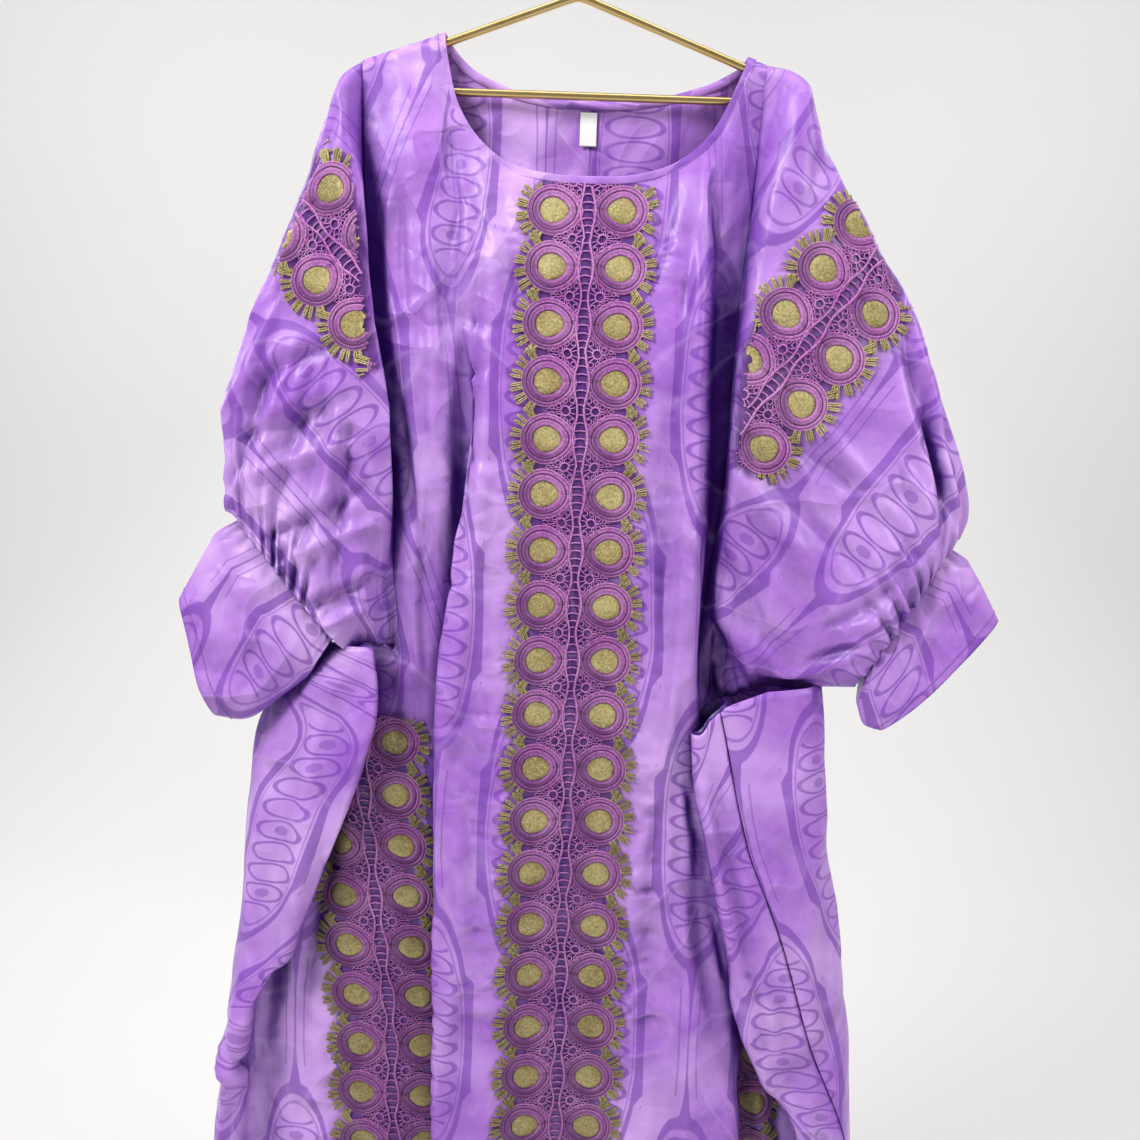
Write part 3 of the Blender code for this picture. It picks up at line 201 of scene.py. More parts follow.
def shoulder_z(x):
    """Height of the cloth over an arm of the hanger."""
    return HANGER_TOP_Z - HANGER_SLOPE * abs(x + CENTRE_FRONT) + HANGER_TUBE / 2 + WALL + SHOULDER_GAP


def neck_curve(stride, width=0.0):
    """Points round the neckline, at its rows and between them, moved out across the binding by width."""
    count = len(NECKLINE)
    rows = np.array(NECKLINE[-2:] + NECKLINE + NECKLINE[:3], float)
    lengths = chords(rows[:, :3])[1:]
    knots = run_along(rows[:, :3])
    at = []
    for i in range(2, count + 2):
        pieces = int(math.ceil(lengths[i] / stride))
        at.extend(knots[i] + lengths[i] * k / pieces for k in range(pieces))
    out = hermite(knots, rows, at)
    lie = np.radians(out[:, 3])
    points = out[:, :3].copy()
    points[:, 0] -= width * np.cos(lie)
    points[:, 2] -= width * np.sin(lie)
    return points


def neck_edges():
    """Where the front and the back end, inside the binding, each from left to right."""
    points = neck_curve(3.0, BINDING_WIDTH * 0.5)
    right = int(np.argmax(points[:, 0]))
    front = points[:right + 1]
    back = np.vstack([points[right:], points[:1]])[::-1]
    return front, back


NECK_EDGE_FRONT, NECK_EDGE_BACK = neck_edges()


def top_of(x, edge):
    """(y, z) of a panel's top at x: under the binding, or else on the shoulder."""
    side = 1.0 if edge is NECK_EDGE_BACK else -1.0
    if edge[0, 0] < x < edge[-1, 0]:
        return np.interp(x, edge[:, 0], edge[:, 1]), np.interp(x, edge[:, 0], edge[:, 2])
    return side * SHOULDER_EDGE, shoulder_z(x)


def row_height(nominal, top):
    """Rows close up between a panel's own top and the yoke."""
    if nominal <= YOKE_Z:
        return nominal
    return top + (nominal - TOP) * (YOKE_Z - top) / (YOKE_Z - TOP)


def side_lift(x, nominal):
    """How far a row of the body's side rises to meet the underside of the sleeve."""
    for side, sign in (("left", -1), ("right", 1)):
        under = SLEEVES[side]["under"]
        start = ARMPITS[side]
        if sign * x > sign * under[0][0] and nominal <= start:
            reach = sorted(under)
            rise = np.interp(x, [p[0] for p in reach], [p[1] for p in reach]) - start
            inwards = min(1.0, abs(x - under[0][0]) / UNDERARM_START)
            return (rise - UNDERARM_GAP) * inwards * max(0.0, 1.0 - (start - nominal) / UNDERARM_FADE)
    return 0.0


def fold_at(fold, nominal):
    """(x, y) of a fold line at a nominal height."""
    first, pairs = fold[1:]
    return hermite([-z for z in LEVELS[first:]], pairs, -nominal)[0]


def armhole_y(share):
    """Half depth of the armhole at a share of its height."""
    return ARMHOLE_DEPTH * math.sqrt(max(0.0, 1.0 - abs(2.0 * share - 1.0) ** ARMHOLE_SQUARENESS))


def armhole_at(side, nominal):
    """(x, half depth, z) of an armhole at a nominal height."""
    fold = FOLDS[ARMHOLE_FOLDS[side]]
    top = shoulder_z(fold[2][0][0])
    z = row_height(nominal, top)
    return fold_at(fold, nominal)[0], armhole_y((top - z) / (top - ARMPITS[side])), z


def pieces_between(folds):
    """How many cells lie between each fold and the next, none wider than a step."""
    counts = {}
    for left, right in zip(folds, folds[1:]):
        first = max(left[1], right[1])
        spans = [math.dist(a, b) for a, b in zip(left[2][first - left[1]:], right[2][first - right[1]:])]
        counts[left[0]] = max(3, math.ceil(max(spans) / STEP))
    return counts


def fold_column(name):
    """Column of the front's grid that runs down a fold."""
    counts, names = pieces_between(FRONT_FOLDS), list(FOLDS)
    return sum(counts[n] for n in names[:names.index(name)])


def panel_grid(folds, edge, armholes):
    """Grid of points of a front or back panel, not a number where the panel hasn't begun."""
    counts = pieces_between(folds)
    width = sum(counts.values()) + 1
    grid = np.full((len(HEIGHTS), width, 3), np.nan)
    for row, nominal in enumerate(HEIGHTS):
        open_folds = [f for f in folds if LEVELS[f[1]] >= nominal]
        section = np.array([fold_at(f, nominal) for f in open_folds])
        for i, fold in enumerate(open_folds):
            side, direction = armholes.get(fold[0], (None, 0))
            if side and nominal >= ARMPITS[side]:
                at = armhole_at(side, nominal)
                depth = max(at[1], CROTCH_DEPTH)
                section[i] = (at[0] - direction * ARMHOLE_GAP, depth * (1 if edge is NECK_EDGE_BACK else -1))
        points = across(section, [counts[f[0]] for f in open_folds[:-1]])
        lead = sum(counts[f[0]] for f in folds[:folds.index(open_folds[0])])
        settle = min(1.0, (TOP - nominal) / SETTLE)
        for column, (x, y) in enumerate(points):
            top_y, top = top_of(x, edge)
            y = top_y + (y - top_y) * settle
            grid[row, lead + column] = (x, y, row_height(nominal, top) + side_lift(x, nominal))
    return grid


# near the armpit a sleeve starts as thin as the armhole: shares of its height and of the way out
FOOT_HEIGHT, FOOT_START, FOOT_REACH = 0.4, 0.1, 0.35
FOLD_HALF = 2.6             # half depth of the fold along the underside
CUFF_DEPTHS = (14.75, 15.0)
CUFF_INSET = 0.085
CUFF_MIDDLE = (0.0, -4.0)


def sleeve_grid(side, outs, shares):
    """Points of a sleeve: rings from the armhole out, each down the front and up the back."""
    form = SLEEVES[side]
    outs, shares = np.asarray(outs), np.asarray(shares)
    hole_top = armhole_at(side, TOP)[2]
    hole = np.array([armhole_at(side, n) for n in np.linspace(TOP, ARMPITS[side], 60)])
    top, under = curve_at(form["top"], outs), curve_at(form["under"], outs)
    gather = curve_at(form["gather"], shares)
    z = hole_top + (ARMPITS[side] - hole_top) * shares
    hole_x = np.interp(-z, -hole[:, 2], hole[:, 0])
    inner = np.stack([hole_x, hole_top + (form["under"][0][1] - hole_top) * shares], axis=1)
    first, second = np.array(form["top"][0], float), np.array(form["top"][-1], float)
    third, fourth = np.array(form["under"][0], float), np.array(form["under"][-1], float)
    o, s = outs[:, None, None], shares[None, :, None]
    plane = ((1 - s) * top[:, None] + s * under[:, None] + (1 - o) * inner[None] + o * gather[None]
             - (1 - o) * (1 - s) * first - o * (1 - s) * second - (1 - o) * s * third - o * s * fourth)
    stations = SLEEVE_STATIONS[side]
    lie = hermite([t[0] for t in stations], [t[1:] for t in stations], outs)
    o, s = outs[:, None], shares[None, :]
    foot = np.minimum(1.0, 1.3 * np.maximum(0.0, 1.0 - (1.0 - s) / FOOT_HEIGHT))
    foot = foot * np.clip((FOOT_REACH - o) / (FOOT_REACH - FOOT_START), 0.0, 1.0)
    half = lie[:, 1:2] - (lie[:, 1:2] - ARMHOLE_DEPTH) * foot
    middle = lie[:, 0:1] * (1.0 - foot)
    power = ARMHOLE_SQUARENESS + (SLEEVE_SQUARENESS - ARMHOLE_SQUARENESS) * np.minimum(1.0, o / 0.2) ** 0.5
    swell = np.sqrt(np.maximum(0.0, 1.0 - np.abs(2.0 * s - 1.0) ** power))
    swell = np.where(s > 0.9, np.maximum(swell, FOLD_HALF / half), swell)
    faces = []
    for face in (-1, 1):
        x = plane[:, :, 0].copy()
        if face < 0:
            fade = np.minimum(np.minimum(1.0, 6.0 * s), 3.0 * np.maximum(0.0, 0.88 - s))
            x += form["overhang"] * np.where(o < 0.25, np.sin(np.pi * o / 0.25), 0.0) * fade
        faces.append(np.stack([x, middle + face * half * swell, plane[:, :, 1]], axis=2))
    return np.concatenate([faces[0], faces[1][:, -1:0:-1]], axis=1)


def cuff_grid(side, downs, shares):
    """Points of a cuff: rings from the gathers to the opening, each down the front and up the back."""
    form = SLEEVES[side]
    end = SLEEVE_STATIONS[side][-1][1]
    rings = []
    for down in downs:
        depth = CUFF_DEPTHS[0] + (CUFF_DEPTHS[1] - CUFF_DEPTHS[0]) * down
        middle = end + CUFF_MIDDLE[0] + (CUFF_MIDDLE[1] - CUFF_MIDDLE[0]) * down
        inset = CUFF_INSET * max(0.0, 1.0 - down / 0.3)
        s = inset + (1.0 - 2.0 * inset) * np.asarray(shares)
        gather, opening = curve_at(form["gather"], s), curve_at(form["opening"], s)
        ends = [np.array(form[k][i], float) for k in ("gather", "opening") for i in (0, -1)]
        under = curve_at(form["cuff_under"], down)[0]
        top = (1 - down) * ends[0] + down * ends[2]
        s = s[:, None]
        chord = ((1 - down) * gather + down * opening + (1 - s) * top + s * under
                 - (1 - down) * ((1 - s) * ends[0] + s * ends[1]) - down * ((1 - s) * ends[2] + s * ends[3]))
        swell = (1.0 - np.abs(2.0 * s - 1.0) ** 4) ** 0.5
        front = np.concatenate([chord[:, :1], middle - depth * swell, chord[:, 1:]], axis=1)
        back = np.concatenate([chord[:, :1], middle + depth * swell, chord[:, 1:]], axis=1)
        rings.append(np.concatenate([front, back[-2:0:-1]]))
    return np.array(rings)


# ---- meshes ----------------------------------------------------------------------------------
def metres(points):
    """Table points in the part's own frame."""
    return (np.asarray(points, float) + (CENTRE_FRONT, 0.0, 0.0)) / 1000.0


def millimetres(points):
    """Points of the part's own frame as table points."""
    return np.asarray(points, float) * 1000.0 - (CENTRE_FRONT, 0.0, 0.0)


def put(name, data=None):
    """New object at the origin, in the scene."""
    holder = bpy.data.objects.new(name, data)
    bpy.context.collection.objects.link(holder)
    return holder


def grid_faces(shape, present=None, closed=False):
    """Quads of a grid of points, left out where a corner is missing."""
    rows, columns = shape
    faces = []
    for r in range(rows - 1):
        for c in range(columns if closed else columns - 1):
            d = (c + 1) % columns
            if present is None or (present[r, c] and present[r + 1, c] and present[r, d]
                                   and present[r + 1, d]):
                faces.append((r * columns + c, (r + 1) * columns + c, (r + 1) * columns + d, r * columns + d))
    return faces


def used_points(faces):
    """Numbers of the points that faces use, in order."""
    return np.unique(np.concatenate([np.asarray(f) for f in faces]))


def mesh_piece(name, points, faces, materials, maps=None):
    """Object at the origin with points in metres, and any UV maps given as one pair for each point."""
    used = used_points(faces)
    place = {int(old): new for new, old in enumerate(used)}
    mesh = bpy.data.meshes.new(name)
    mesh.from_pydata(np.asarray(points)[used].tolist(), [], [[place[int(i)] for i in f] for f in faces])
    for label, values in (maps or {}).items():
        layer = mesh.uv_layers.new(name=label)
        corners = np.empty(len(mesh.loops), int)
        mesh.loops.foreach_get("vertex_index", corners)
        layer.data.foreach_set("uv", np.asarray(values, float)[used][corners].ravel())
    for material in materials:
        mesh.materials.append(material)
    mesh.shade_smooth()
    return put(name, mesh)


def grid_tube(name, grid, material, cloth=None, table=True):
    """Piece whose rows are rings; grid in table millimetres, cloth is its map in metres."""
    points = metres(grid.reshape(-1, 3)) if table else grid.reshape(-1, 3) / 1000.0
    faces = grid_faces(grid.shape[:2], closed=True)
    return mesh_piece(name, points, faces, [material], {} if cloth is None else {"cloth": cloth})


def coordinates(mesh, normals=False):
    """Points of a mesh, or their normals, as rows of an array."""
    source, label = (mesh.vertex_normals, "vector") if normals else (mesh.vertices, "co")
    values = np.empty(len(source) * 3)
    source.foreach_get(label, values)
    return values.reshape(-1, 3)


def mark(piece, label, values, domain="POINT"):
    """Stores one value for each point or face of a piece, for its material to read."""
    attributes = piece.data.attributes
    layer = attributes.get(label) or attributes.new(label, "FLOAT", domain)
    layer.data.foreach_set("value", np.asarray(values, float))


def marks(piece, label):
    """The values that a piece stores for its points, 0 where it has none."""
    values = np.zeros(len(piece.data.vertices))
    if label in piece.data.attributes:
        piece.data.attributes[label].data.foreach_get("value", values)
    return values


def surface_tree(*pieces):
    """What rays meet: the faces of the pieces together."""
    points, faces = [], []
    for piece in pieces:
        start = len(points)
        points.extend(v.co.copy() for v in piece.data.vertices)
        faces.extend(tuple(i + start for i in p.vertices) for p in piece.data.polygons)
    return BVHTree.FromPolygons(points, faces)


def point_tree(points):
    """Finds the nearest of some points."""
    tree = KDTree(len(points))
    for i, at in enumerate(points):
        tree.insert(at, i)
    tree.balance()
    return tree


def weld(piece, distance):
    """Joins the ends of a tube, and the points of its caps; distance in metres."""
    joined = piece.modifiers.new("join ends", "WELD")
    joined.merge_threshold = distance


LAYER_REACH, LAYER_SHARE = 0.04, 0.3        # how far a layer counts, m, and a crease's share of the room


def push_out(piece, lift):
    """Moves each point along its normal by lift millimetres."""
    mesh = piece.data
    moved = coordinates(mesh) + coordinates(mesh, normals=True) * np.asarray(lift)[:, None] / 1000.0
    mesh.vertices.foreach_set("co", moved.ravel())
    mesh.update()


def within_room(piece, lift):
    """Keeps a lift well short of the next layer of cloth on either side."""
    mesh = piece.data
    tree = surface_tree(piece)
    share = np.ones(len(lift))
    for i, (vertex, normal) in enumerate(zip(mesh.vertices, mesh.vertex_normals)):
        way = normal.vector * math.copysign(1.0, lift[i])
        room = tree.ray_cast(vertex.co + way * 0.001, way, LAYER_REACH)[3]
        if room is not None:
            share[i] = min(1.0, room * 1000.0 * LAYER_SHARE / max(abs(lift[i]), 0.01))
    ends = np.empty(len(mesh.edges) * 2, int)
    mesh.edges.foreach_get("vertices", ends)
    first, second = ends.reshape(-1, 2).T
    count = np.bincount(ends, minlength=len(lift))
    for _ in range(3):
        near = np.bincount(first, share[second], len(lift)) + np.bincount(second, share[first], len(lift))
        share = np.minimum(share, (share + near) / (1 + count))
    return lift * share


def give_wall(piece, thickness):
    """Thickness of the cloth, laid inwards from the face that shows."""
    wall = piece.modifiers.new("cloth thickness", "SOLIDIFY")
    wall.thickness = thickness / 1000.0
    wall.offset = -1.0
    wall.use_rim = True


def lengths_across(grid, start):
    """Length of cloth across each row, from its start column."""
    steps = np.linalg.norm(np.diff(grid, axis=1), axis=2)
    run = np.concatenate([np.zeros((grid.shape[0], 1)), np.nancumsum(steps, axis=1)], axis=1)
    return run - run[:, start:start + 1]


# ---- creases ---------------------------------------------------------------------------------
def crease_lift(x, z, creases):
    """Millimetres that soft troughs and ridges lift the cloth at places seen from the front."""
    lift = np.zeros(len(x))
    for x0, z0, x1, z1, half_width, bow, height in creases:
        length = math.hypot(x1 - x0, z1 - z0)
        along = ((x - x0) * (x1 - x0) + (z - z0) * (z1 - z0)) / length**2
        aside = ((x - x0) * (z1 - z0) - (z - z0) * (x1 - x0)) / length
        t = np.clip(along, 0.0, 1.0)
        off = aside - bow * 4.0 * t * (1.0 - t)
        taper = np.where((along > 0.0) & (along < 1.0), np.sin(np.pi * t) ** 0.6, 0.0)
        width = half_width * (0.45 + 0.55 * np.sin(np.pi * t))
        lift += height * taper * (np.exp(-(off / width) ** 2) - 0.35
                                  * np.exp(-((off - 1.9 * width) / width) ** 2))
    return lift


def undulation(points, size, height, seed):
    """Gentle unevenness of hanging cloth: a smooth lift for each point."""
    offset = Vector((seed * 17.0, seed * 5.0, seed * 11.0))
    return np.array([noise.noise(Vector(p) * (1000.0 / size) + offset) for p in points]) * height


noise.seed_set(5)            # left to itself, the noise vectors would change with the time of day


def crumple(points, size, height, seed):
    """Sharp little ridges and dents of stiff cloth that has been folded, stronger here than there."""
    offset = Vector((seed * 7.0, seed * 13.0, seed * 3.0))
    stretch = Vector((1.0, 1.0, 0.62))
    lifts = []
    for p in points:
        place = Vector(p) * (1000.0 / size) * stretch + offset
        warp = noise.noise_vector(place * 0.6) * 0.9
        ridge = 1.0 - min(1.0, 3.2 * abs(noise.noise(place + warp)))
        dent = 1.0 - min(1.0, 3.6 * abs(noise.noise(place * 1.7 - warp + offset)))
        much = 0.35 + 0.9 * max(0.0, noise.noise(place * 0.28 + offset) + 0.35)
        lifts.append((ridge - 0.8 * dent) * much)
    return np.array(lifts) * height


# ---- the back --------------------------------------------------------------------------------
SIDE_SEAM_GAPS = (0.6, 0.4, 0.2, 0.0, 0.0, 0.0, 0.0, 0.0)
LEFT_SEAM, RIGHT_SEAM = (np.array(FOLDS["seam_" + side][2], float) for side in ("left", "right"))
CENTRE_BACK = (17, 21, 26, 30, 32, 33, 34, 35, 36, 36, 37, 37, 38)      # y at each level
BACK_LEFT_FOLDS = with_pairs((
    # name, first level, x at each level, y at each level
    ("seam_left", 5, LEFT_SEAM[:, 0], LEFT_SEAM[:, 1] + SIDE_SEAM_GAPS),
    ("back_side_left", 5, (-240, -290, -318, -328, -340, -338, -338, -345), (-16, 6, 20, 25, 27, 30, 32, 32)),
    ("back_hem_left", 5, (-214, -250, -275, -285, -295, -295, -295, -300), (-2, 15, 21, 20, 19, 22, 24, 24)),
    ("armhole_left", 0, (-228, -226, -216, -191, -190, -188, -208, -228, -238, -246, -246, -246, -250),
        (0, 8, 8, 8, 8, 5, 24, 31, 33, 33, 34, 35, 36)),
    ("back_outer_left", 0, (-180, -182, -174, -156, -154, -153, -162, -176, -184, -190, -190, -190, -192),
        (8, 19, 24, 24, 22, 20, 22, 22, 22, 23, 24, 26, 26)),
    ("back_neck_left", 0, (-153.4, -150, -146, -134, -133, -132, -138, -147, -153, -158, -158, -158, -160),
        (9, 20, 26, 29, 29, 28, 30, 30, 31, 31, 32, 33, 33)),
    ("back_middle_left", 0, (-120, -122, -118, -112, -112, -112, -114, -118, -122, -126, -126, -126, -128),
        (9, 20, 28, 34, 35, 35, 36, 37, 38, 38, 38, 39, 39)),
    ("back_inner_left", 0, (-60, -60, -58, -56, -56, -56, -58, -60, -62, -64, -64, -64, -64),
        (14, 17, 20, 23, 24, 25, 26, 27, 28, 29, 29, 30, 30)),
    ("centre_back_left", 0, (0.5,) * len(LEVELS), CENTRE_BACK),
))
BACK_RIGHT_FOLDS = with_pairs((
    # name, first level, x at each level, y at each level
    ("centre_back_right", 0, (-0.5,) * len(LEVELS), CENTRE_BACK),
    ("back_inner_right", 0, (60, 58, 56, 54, 54, 54, 56, 58, 60, 62, 62, 62, 62),
        (14, 17, 20, 24, 25, 25, 26, 27, 28, 29, 29, 30, 30)),
    ("back_middle_right", 0, (110, 106, 102, 98, 94, 92, 96, 106, 114, 120, 122, 122, 122),
        (9, 21, 29, 34, 34, 35, 36, 37, 38, 38, 38, 39, 39)),
    ("back_neck_right", 0, (160.4, 138, 130, 124, 118, 114, 118, 132, 144, 152, 155, 156, 156),
        (9, 18, 24, 26, 25, 26, 31, 31, 33, 34, 35, 36, 36)),
    ("armhole_right", 0, (172, 166, 155, 150, 139, 133, 140, 160, 176, 184, 188, 190, 190),
        (0, 8, 8, 8, 8, 8, 8, 22, 27, 29, 31, 32, 32)),
    ("back_outer_right", 6, (196, 222, 236, 246, 254, 258, 260), (8, 20, 27, 31, 33, 34, 34)),
    ("back_side_right", 6, (246, 266, 284, 300, 312, 318, 322), (-8, 4, 12, 18, 21, 23, 23)),
    ("side_right", 6, (262, 277, 296, 313, 328, 336, 341), (-26, -20, -12, -6, 2, 4, 4)),
    ("front_side_right", 6, (246, 262, 284, 303, 326, 337, 342), (-44, -44, -40, -32, -16, -8, -8)),
    ("front_strip_right", 6, (200, 224, 258, 288, 322, 335, 340), (-52, -56, -54, -46, -27, -17, -17)),
    ("seam_right", 6, RIGHT_SEAM[:, 0] + 0.2, RIGHT_SEAM[:, 1] + 0.1),
))


# ---- sleeves and cuffs -----------------------------------------------------------------------
SLEEVES = {
    "left": {
        "top": ((-228, -141), (-246, -156), (-257, -182), (-273, -225), (-295, -284), (-320, -349),
            (-342, -405), (-357, -455), (-360, -500), (-357, -550), (-353, -590)),
        "under": ((-188, -735), (-211, -731), (-235, -732)),
        "gather": ((-353, -590), (-318, -630), (-277, -681), (-235, -732)),
        "opening": ((-403, -684), (-391, -725), (-379, -778), (-366, -806)),
        "cuff_under": ((-235, -732), (-290, -777), (-340, -810), (-366, -806)),
        "overhang": 31.0,
    },
    "right": {
        "top": ((172, -133.5), (197, -141), (214, -156), (223, -180), (243, -222), (270, -270), (300, -322),
            (326, -366), (345, -412), (368, -477), (386, -530), (391, -570), (384, -591)),
        "under": ((133, -800), (160, -776), (200, -761), (245, -757), (292, -750)),
        "gather": ((384, -591), (358, -634), (325, -690), (292, -750)),
        "opening": ((433, -677), (400, -715), (360, -760), (320, -797)),
        "cuff_under": ((292, -750), (296, -775), (303, -792), (320, -797)),
        "overhang": -28.0,
    },
}
SLEEVE_STATIONS = {
    # side: (share of the way out, y of the middle, half depth)
    "left": ((0, 0, 9), (0.035, -4, 22), (0.08, -8, 30), (0.15, -10, 33), (0.3, -12, 33), (0.5, -14, 32),
        (0.7, -18, 30), (0.85, -26, 28), (1, -36, 21)),
    "right": ((0, 0, 9), (0.035, -5, 25), (0.08, -11, 35), (0.15, -15, 39), (0.3, -16, 40), (0.5, -18, 41),
        (0.7, -24, 42), (0.85, -32, 38), (1, -40, 21)),
}

# x and z of one end, x and z of the other, half width, bow, and height; troughs are negative
FRONT_CREASES = (
    # yoke, fanning from the neckline and shoulders
    (-120, -196, -96, -330, 9, 6, -2.4), (-100, -232, -66, -420, 10, -7, -2.0),
    (-136, -170, -126, -300, 7, 4, -2.2), (110, -222, 96, -380, 9, -6, -2.2),
    (130, -190, 132, -320, 7, 4, -2.4), (92, -240, 70, -360, 8, 5, -1.6), (-112, -262, -128, -440, 8, 5, 2.0),
    (104, -270, 110, -470, 9, -8, 2.2),
    # long soft hanging folds of the middle
    (-104, -330, -112, -640, 12, 8, -3.0), (-96, -420, -120, -760, 11, -9, 2.6),
    (100, -420, 92, -700, 12, 9, -3.0), (108, -560, 96, -850, 10, -8, 2.6),
    (-100, -700, -86, -1040, 12, 10, -2.8), (-112, -820, -120, -1180, 11, -8, 2.4),
    (98, -880, 106, -1200, 12, 9, -2.8), (120, -960, 138, -1290, 11, -8, 2.6),
    (-104, -1080, -96, -1460, 13, 9, -2.8), (112, -1180, 120, -1540, 13, -9, -2.8),
    (-120, -1240, -112, -1590, 12, 8, 2.4), (140, -900, 166, -1130, 9, 6, -2.6),
    # crumples left of the lace
    (-128, -388, -84, -402, 5, 3, -1.8), (-132, -452, -80, -438, 5, -3, -1.6),
    (-126, -520, -82, -536, 6, 4, -1.8), (-136, -668, -84, -640, 6, -5, -2.0),
    (-140, -806, -80, -786, 6, 5, -2.2), (-136, -838, -78, -834, 5, 3, -2.2),
    # left strip beside the sleeve
    (-186, -250, -176, -420, 7, 4, -2.2), (-160, -300, -152, -520, 8, -5, 2.0),
    (-184, -470, -158, -640, 7, 5, -2.4), (-150, -560, -152, -760, 8, 5, -2.0),
    # left panel under the cuff
    (-232, -770, -252, -1010, 12, 8, -3.4), (-262, -800, -300, -1080, 14, -9, 3.0),
    (-226, -860, -286, -1180, 11, 8, -2.8), (-300, -900, -336, -1240, 13, -8, -3.2),
    (-280, -760, -296, -860, 9, 6, -2.6), (-330, -1060, -356, -1330, 12, 7, 2.8),
    (-366, -1150, -332, -1216, 7, 5, -3.0), (-372, -1180, -346, -1240, 6, -4, 2.6),
    (-310, -1180, -330, -1480, 14, 9, -3.0), (-352, -1300, -360, -1580, 13, -8, -2.8),
    # right panel: the twisted fold and the long slanting creases under the sleeve
    (122, -860, 176, -1080, 7, -5, -3.0), (136, -850, 214, -1120, 9, 8, 3.4),
    (150, -830, 238, -1190, 10, 9, -3.6), (168, -830, 262, -1230, 12, -9, -2.6),
    (214, -880, 286, -1180, 14, 9, 3.0), (248, -860, 300, -1100, 12, -8, -2.4),
    (236, -1120, 284, -1420, 13, 9, -3.0), (280, -1180, 306, -1520, 13, -9, -2.6),
    (200, -1180, 262, -1420, 12, 8, -2.6), (254, -1240, 300, -1590, 12, 8, 2.6),
)
BACK_CREASES = (
    (-110, -230, -84, -480, 12, 8, -2.6), (-60, -240, -48, -560, 13, -8, -2.4),
    (64, -240, 52, -580, 13, 8, -2.6), (112, -230, 92, -470, 12, -7, -2.4),
    (-170, -300, -150, -640, 12, 8, 2.6), (150, -320, 132, -690, 12, -8, 2.6),
    (-40, -620, -60, -1080, 15, 10, -3.0), (46, -640, 70, -1120, 15, -9, -3.0),
    (-130, -700, -150, -1220, 15, -9, -3.2), (128, -720, 160, -1240, 15, 9, -3.2),
    (-210, -800, -226, -1340, 15, 9, 3.0), (206, -860, 226, -1400, 15, -9, 3.0),
    (-290, -860, -300, -1440, 14, 9, -3.0), (280, -900, 296, -1460, 14, 9, -3.0),
    (-90, -1180, -96, -1590, 15, 9, 2.8), (96, -1200, 108, -1590, 15, -9, 2.8),
    (-330, -1100, -322, -1560, 13, -8, 2.6), (10, -1240, -14, -1590, 15, 8, -2.8),
)
SLEEVE_CREASES = {
    "left": (
        (-240, -180, -300, -330, 9, 6, -2.6), (-262, -230, -322, -400, 8, -6, 2.4),
        (-230, -420, -330, -470, 8, 6, -2.6), (-226, -470, -348, -520, 9, -7, -3.0),
        (-214, -520, -330, -560, 9, 6, 3.0), (-210, -560, -318, -620, 8, -6, -3.2),
        (-200, -600, -306, -654, 8, 6, 3.0), (-196, -650, -284, -690, 7, -5, -3.0),
        (-212, -690, -262, -716, 6, 4, 2.4), (-300, -380, -352, -520, 10, 8, 2.6),
        (-318, -430, -350, -580, 9, -6, -3.0), (-282, -420, -330, -600, 10, 7, 2.6),
        (-262, -440, -306, -630, 9, 6, -2.6), (-240, -430, -272, -640, 9, -7, 2.6),
        (-224, -480, -244, -680, 8, 6, -2.6), (-340, -470, -356, -560, 6, 4, -2.6),
        (-332, -540, -350, -596, 5, 3, 2.2),
    ),
    "right": (
        (214, -160, 268, -300, 9, -6, -2.6), (238, -210, 300, -350, 8, 6, 2.4),
        (300, -330, 356, -500, 10, -8, 2.8), (318, -380, 372, -560, 8, 6, -3.6),
        (336, -430, 366, -600, 6, -4, -3.4), (350, -460, 384, -580, 5, 4, 3.0),
        (150, -480, 300, -640, 12, 10, -3.0), (158, -540, 276, -700, 11, -9, 2.8),
        (172, -470, 316, -560, 10, 8, -2.6), (140, -600, 230, -740, 11, 8, -3.0),
        (130, -660, 190, -756, 9, -7, 2.6), (230, -480, 330, -610, 9, -7, 2.4),
        (250, -690, 322, -640, 7, 5, -2.8), (236, -730, 300, -706, 6, -4, -2.8),
        (196, -744, 262, -734, 5, 3, 2.6), (300, -560, 352, -622, 7, 5, -2.6),
        (318, -520, 360, -600, 6, -4, 2.6), (150, -700, 176, -770, 7, 5, -2.6),
    ),
}
# puckers that lace and seams draw in: x and z where a row starts and ends, how many, how far they run, height
PUCKER_ROWS = (
    (-64, -300, -66, -560, 15, -46, 1.5), (-66, -560, -67, -840, 15, -52, 1.7),
    (-67, -840, -64, -1150, 22, -64, 2.3), (-64, -1150, -60, -1590, 22, -50, 1.7),
    (70, -300, 72, -560, 14, 44, 1.4), (72, -560, 70, -860, 16, 50, 1.8), (68, -860, 60, -1180, 22, 56, 2.2),
    (58, -1180, 58, -1590, 20, 46, 1.6), (-150, -840, -124, -1250, 20, -26, 1.4),
    (152, -830, 236, -1210, 26, -26, 1.8), (176, -880, 250, -1220, 22, 30, 1.6),
)


def pucker_creases(seed=11):
    """Short uneven creases that run out from a sewn edge."""
    random = np.random.default_rng(seed)
    creases = []
    for x0, z0, x1, z1, count, reach, height in PUCKER_ROWS:
        for i in range(count):
            t = (i + random.uniform(0.1, 0.9)) / count
            x, z = x0 + (x1 - x0) * t, z0 + (z1 - z0) * t
            run = reach * random.uniform(0.45, 1.1)
            creases.append((x - 0.15 * run, z, x + run, z + random.uniform(-14, 10), random.uniform(2.6, 5.0),
                            random.uniform(-4, 4), -height * random.uniform(0.25, 0.6)))
    return creases


# ---- node helper and colours -----------------------------------------------------------------
def grain(size):
    """Scale of a noise whose marks are about this many millimetres across."""
    return 1000.0 / size


